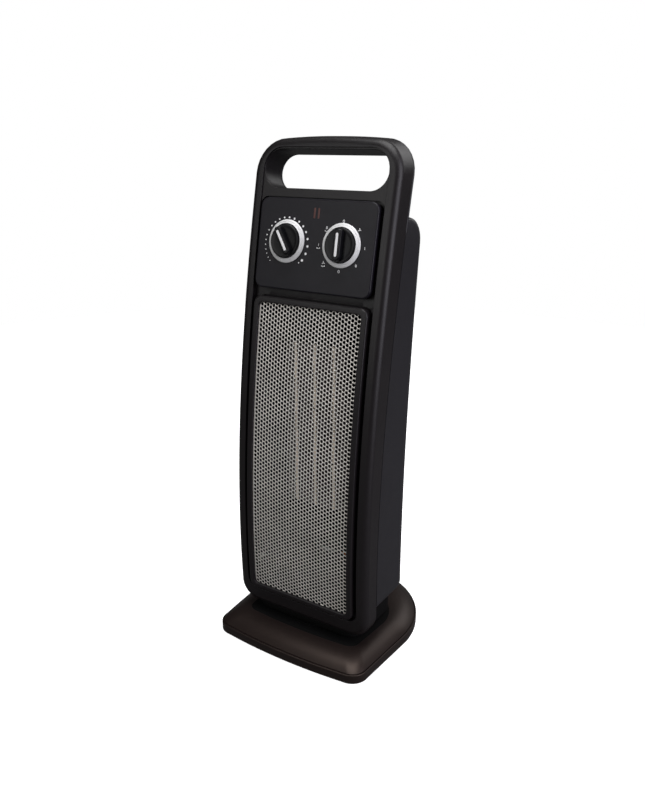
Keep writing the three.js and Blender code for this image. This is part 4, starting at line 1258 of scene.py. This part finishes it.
LIGHT_AIM = Vector((0, 0, 0.25))
LIGHTS = {  # place and size in metres, watts and colour
    "key": ((-0.7, -2.0, 1.1), (1.3, 1.4), 14, (1, 1, 1)),
    "side": ((1.9, -0.2, 0.9), (1.5, 1.8), 38, (0.92, 0.9, 1.0)),
    "top": ((0.1, -0.1, 2.2), (1.4, 1.4), 36, (1, 1, 1)),
    "back": ((0.5, 1.9, 1.4), (1.4, 1.2), 10, (1, 1, 1)),
}
ROOM_LIGHT = 0.05
FLOOR_REACH, FLOOR_CORNER = 1600, 1440
FLOOR_GLOW = 0.8
FLOOR_BOUNCE = 0.14


def area_light(name, place, size, power, color):
    """A rectangular light that faces the object."""
    data = bpy.data.lights.new(name, "AREA")
    data.shape = "RECTANGLE"
    data.size, data.size_y = size
    data.energy = power
    data.color = color
    light = bpy.data.objects.new(name, data)
    light.location = place
    light.rotation_euler = (LIGHT_AIM - Vector(place)).to_track_quat("-Z", "Y").to_euler()
    scene.collection.objects.link(light)


def studio():
    """A pale floor and backdrop that read as white, and soft light mostly from above."""
    floor = Surface()
    outline = rounded(2 * FLOOR_REACH, 2 * FLOOR_REACH, FLOOR_CORNER)
    floor.faces.append(tuple(floor.ring(flat(outline, 0))))
    ground = floor.piece("floor", finish("pale_floor", (0.9, 0.9, 0.9), 0.8, grain=(4, 0.02), drift=0.01))
    lift_to_white(ground.data.materials[0].node_tree)
    for name, light in LIGHTS.items():
        area_light(name, *light)
    room()
    scene.view_settings.view_transform = "Standard"


def camera_sees(tree, seen, unseen, output):
    """Shows the camera one shader, while every other ray meets another."""
    camera_ray = add_node(tree, "LightPath").outputs["Is Camera Ray"]
    mix = add_node(tree, "MixShader", Fac=camera_ray)
    tree.links.new(unseen.outputs[0], mix.inputs[1])
    tree.links.new(seen.outputs[0], mix.inputs[2])
    plug(tree, tree.nodes[output], Surface=mix.outputs["Shader"])


def lift_to_white(tree):
    """Lets the floor show as white while it lights the object only as a grey floor would."""
    both = add_node(tree, "AddShader")
    tree.links.new(tree.nodes["Principled BSDF"].outputs["BSDF"], both.inputs[0])
    tree.links.new(add_node(tree, "Emission", Strength=FLOOR_GLOW).outputs["Emission"], both.inputs[1])
    dim = add_node(tree, "BsdfDiffuse", Color=(FLOOR_BOUNCE, FLOOR_BOUNCE, FLOOR_BOUNCE, 1))
    camera_sees(tree, both, dim, "Material Output")


def room():
    """A white backdrop that lights the object only softly."""
    world = bpy.data.worlds.new("room")
    world.use_nodes = True
    tree = world.node_tree
    soft = tree.nodes["Background"]
    plug(tree, soft, Color=(1, 1, 1, 1), Strength=ROOM_LIGHT)
    camera_sees(tree, add_node(tree, "Background", Color=(1, 1, 1, 1), Strength=1.0), soft, "World Output")
    scene.world = world


VIEW = {"aim": (0, -16.2, 248.1), "distance": 749.3, "round": 32.99, "down": 18.88, "lens": 34.44,
        "sensor": 36}


def camera():
    """The photographed view: a little above and to the right of the front."""
    azimuth, down = radians(VIEW["round"]), radians(VIEW["down"])
    back = Vector((sin(azimuth) * cos(down), -cos(azimuth) * cos(down), sin(down)))
    data = bpy.data.cameras.new("camera")
    data.lens = VIEW["lens"]
    data.sensor_width = VIEW["sensor"]
    view = bpy.data.objects.new("camera", data)
    view.location = Vector(VIEW["aim"]) * MM + back * (VIEW["distance"] * MM)
    view.rotation_euler = (-back).to_track_quat("-Z", "Y").to_euler()
    scene.collection.objects.link(view)
    scene.camera = view


# -------- assembly

studio()
camera()
front_shell()
rear_housing()
grille_frame()
perforated_sheet()
control_panel()
for side, x in (("left", -PILOT["x"]), ("right", PILOT["x"])):
    pilot_lens(f"pilot_lens_{side}", x)
for dial, matrix in DIALS.items():
    dial_ring(dial, matrix)
    dial_knob(dial, matrix)
printed_marks()
for i in range(1, 5):
    fin_pack(f"fin_pack_{i}")
    foot_pad(f"foot_{i}")
for i, first_joint in enumerate(FIRST_JOINTS, start=1):
    ceramic_bar(f"ceramic_bar_{i}", first_joint)
base_shell()
neck()
screws()
for paint, nodes in STAYING.items():
    for name in nodes:
        dress(name, PAINT[paint])
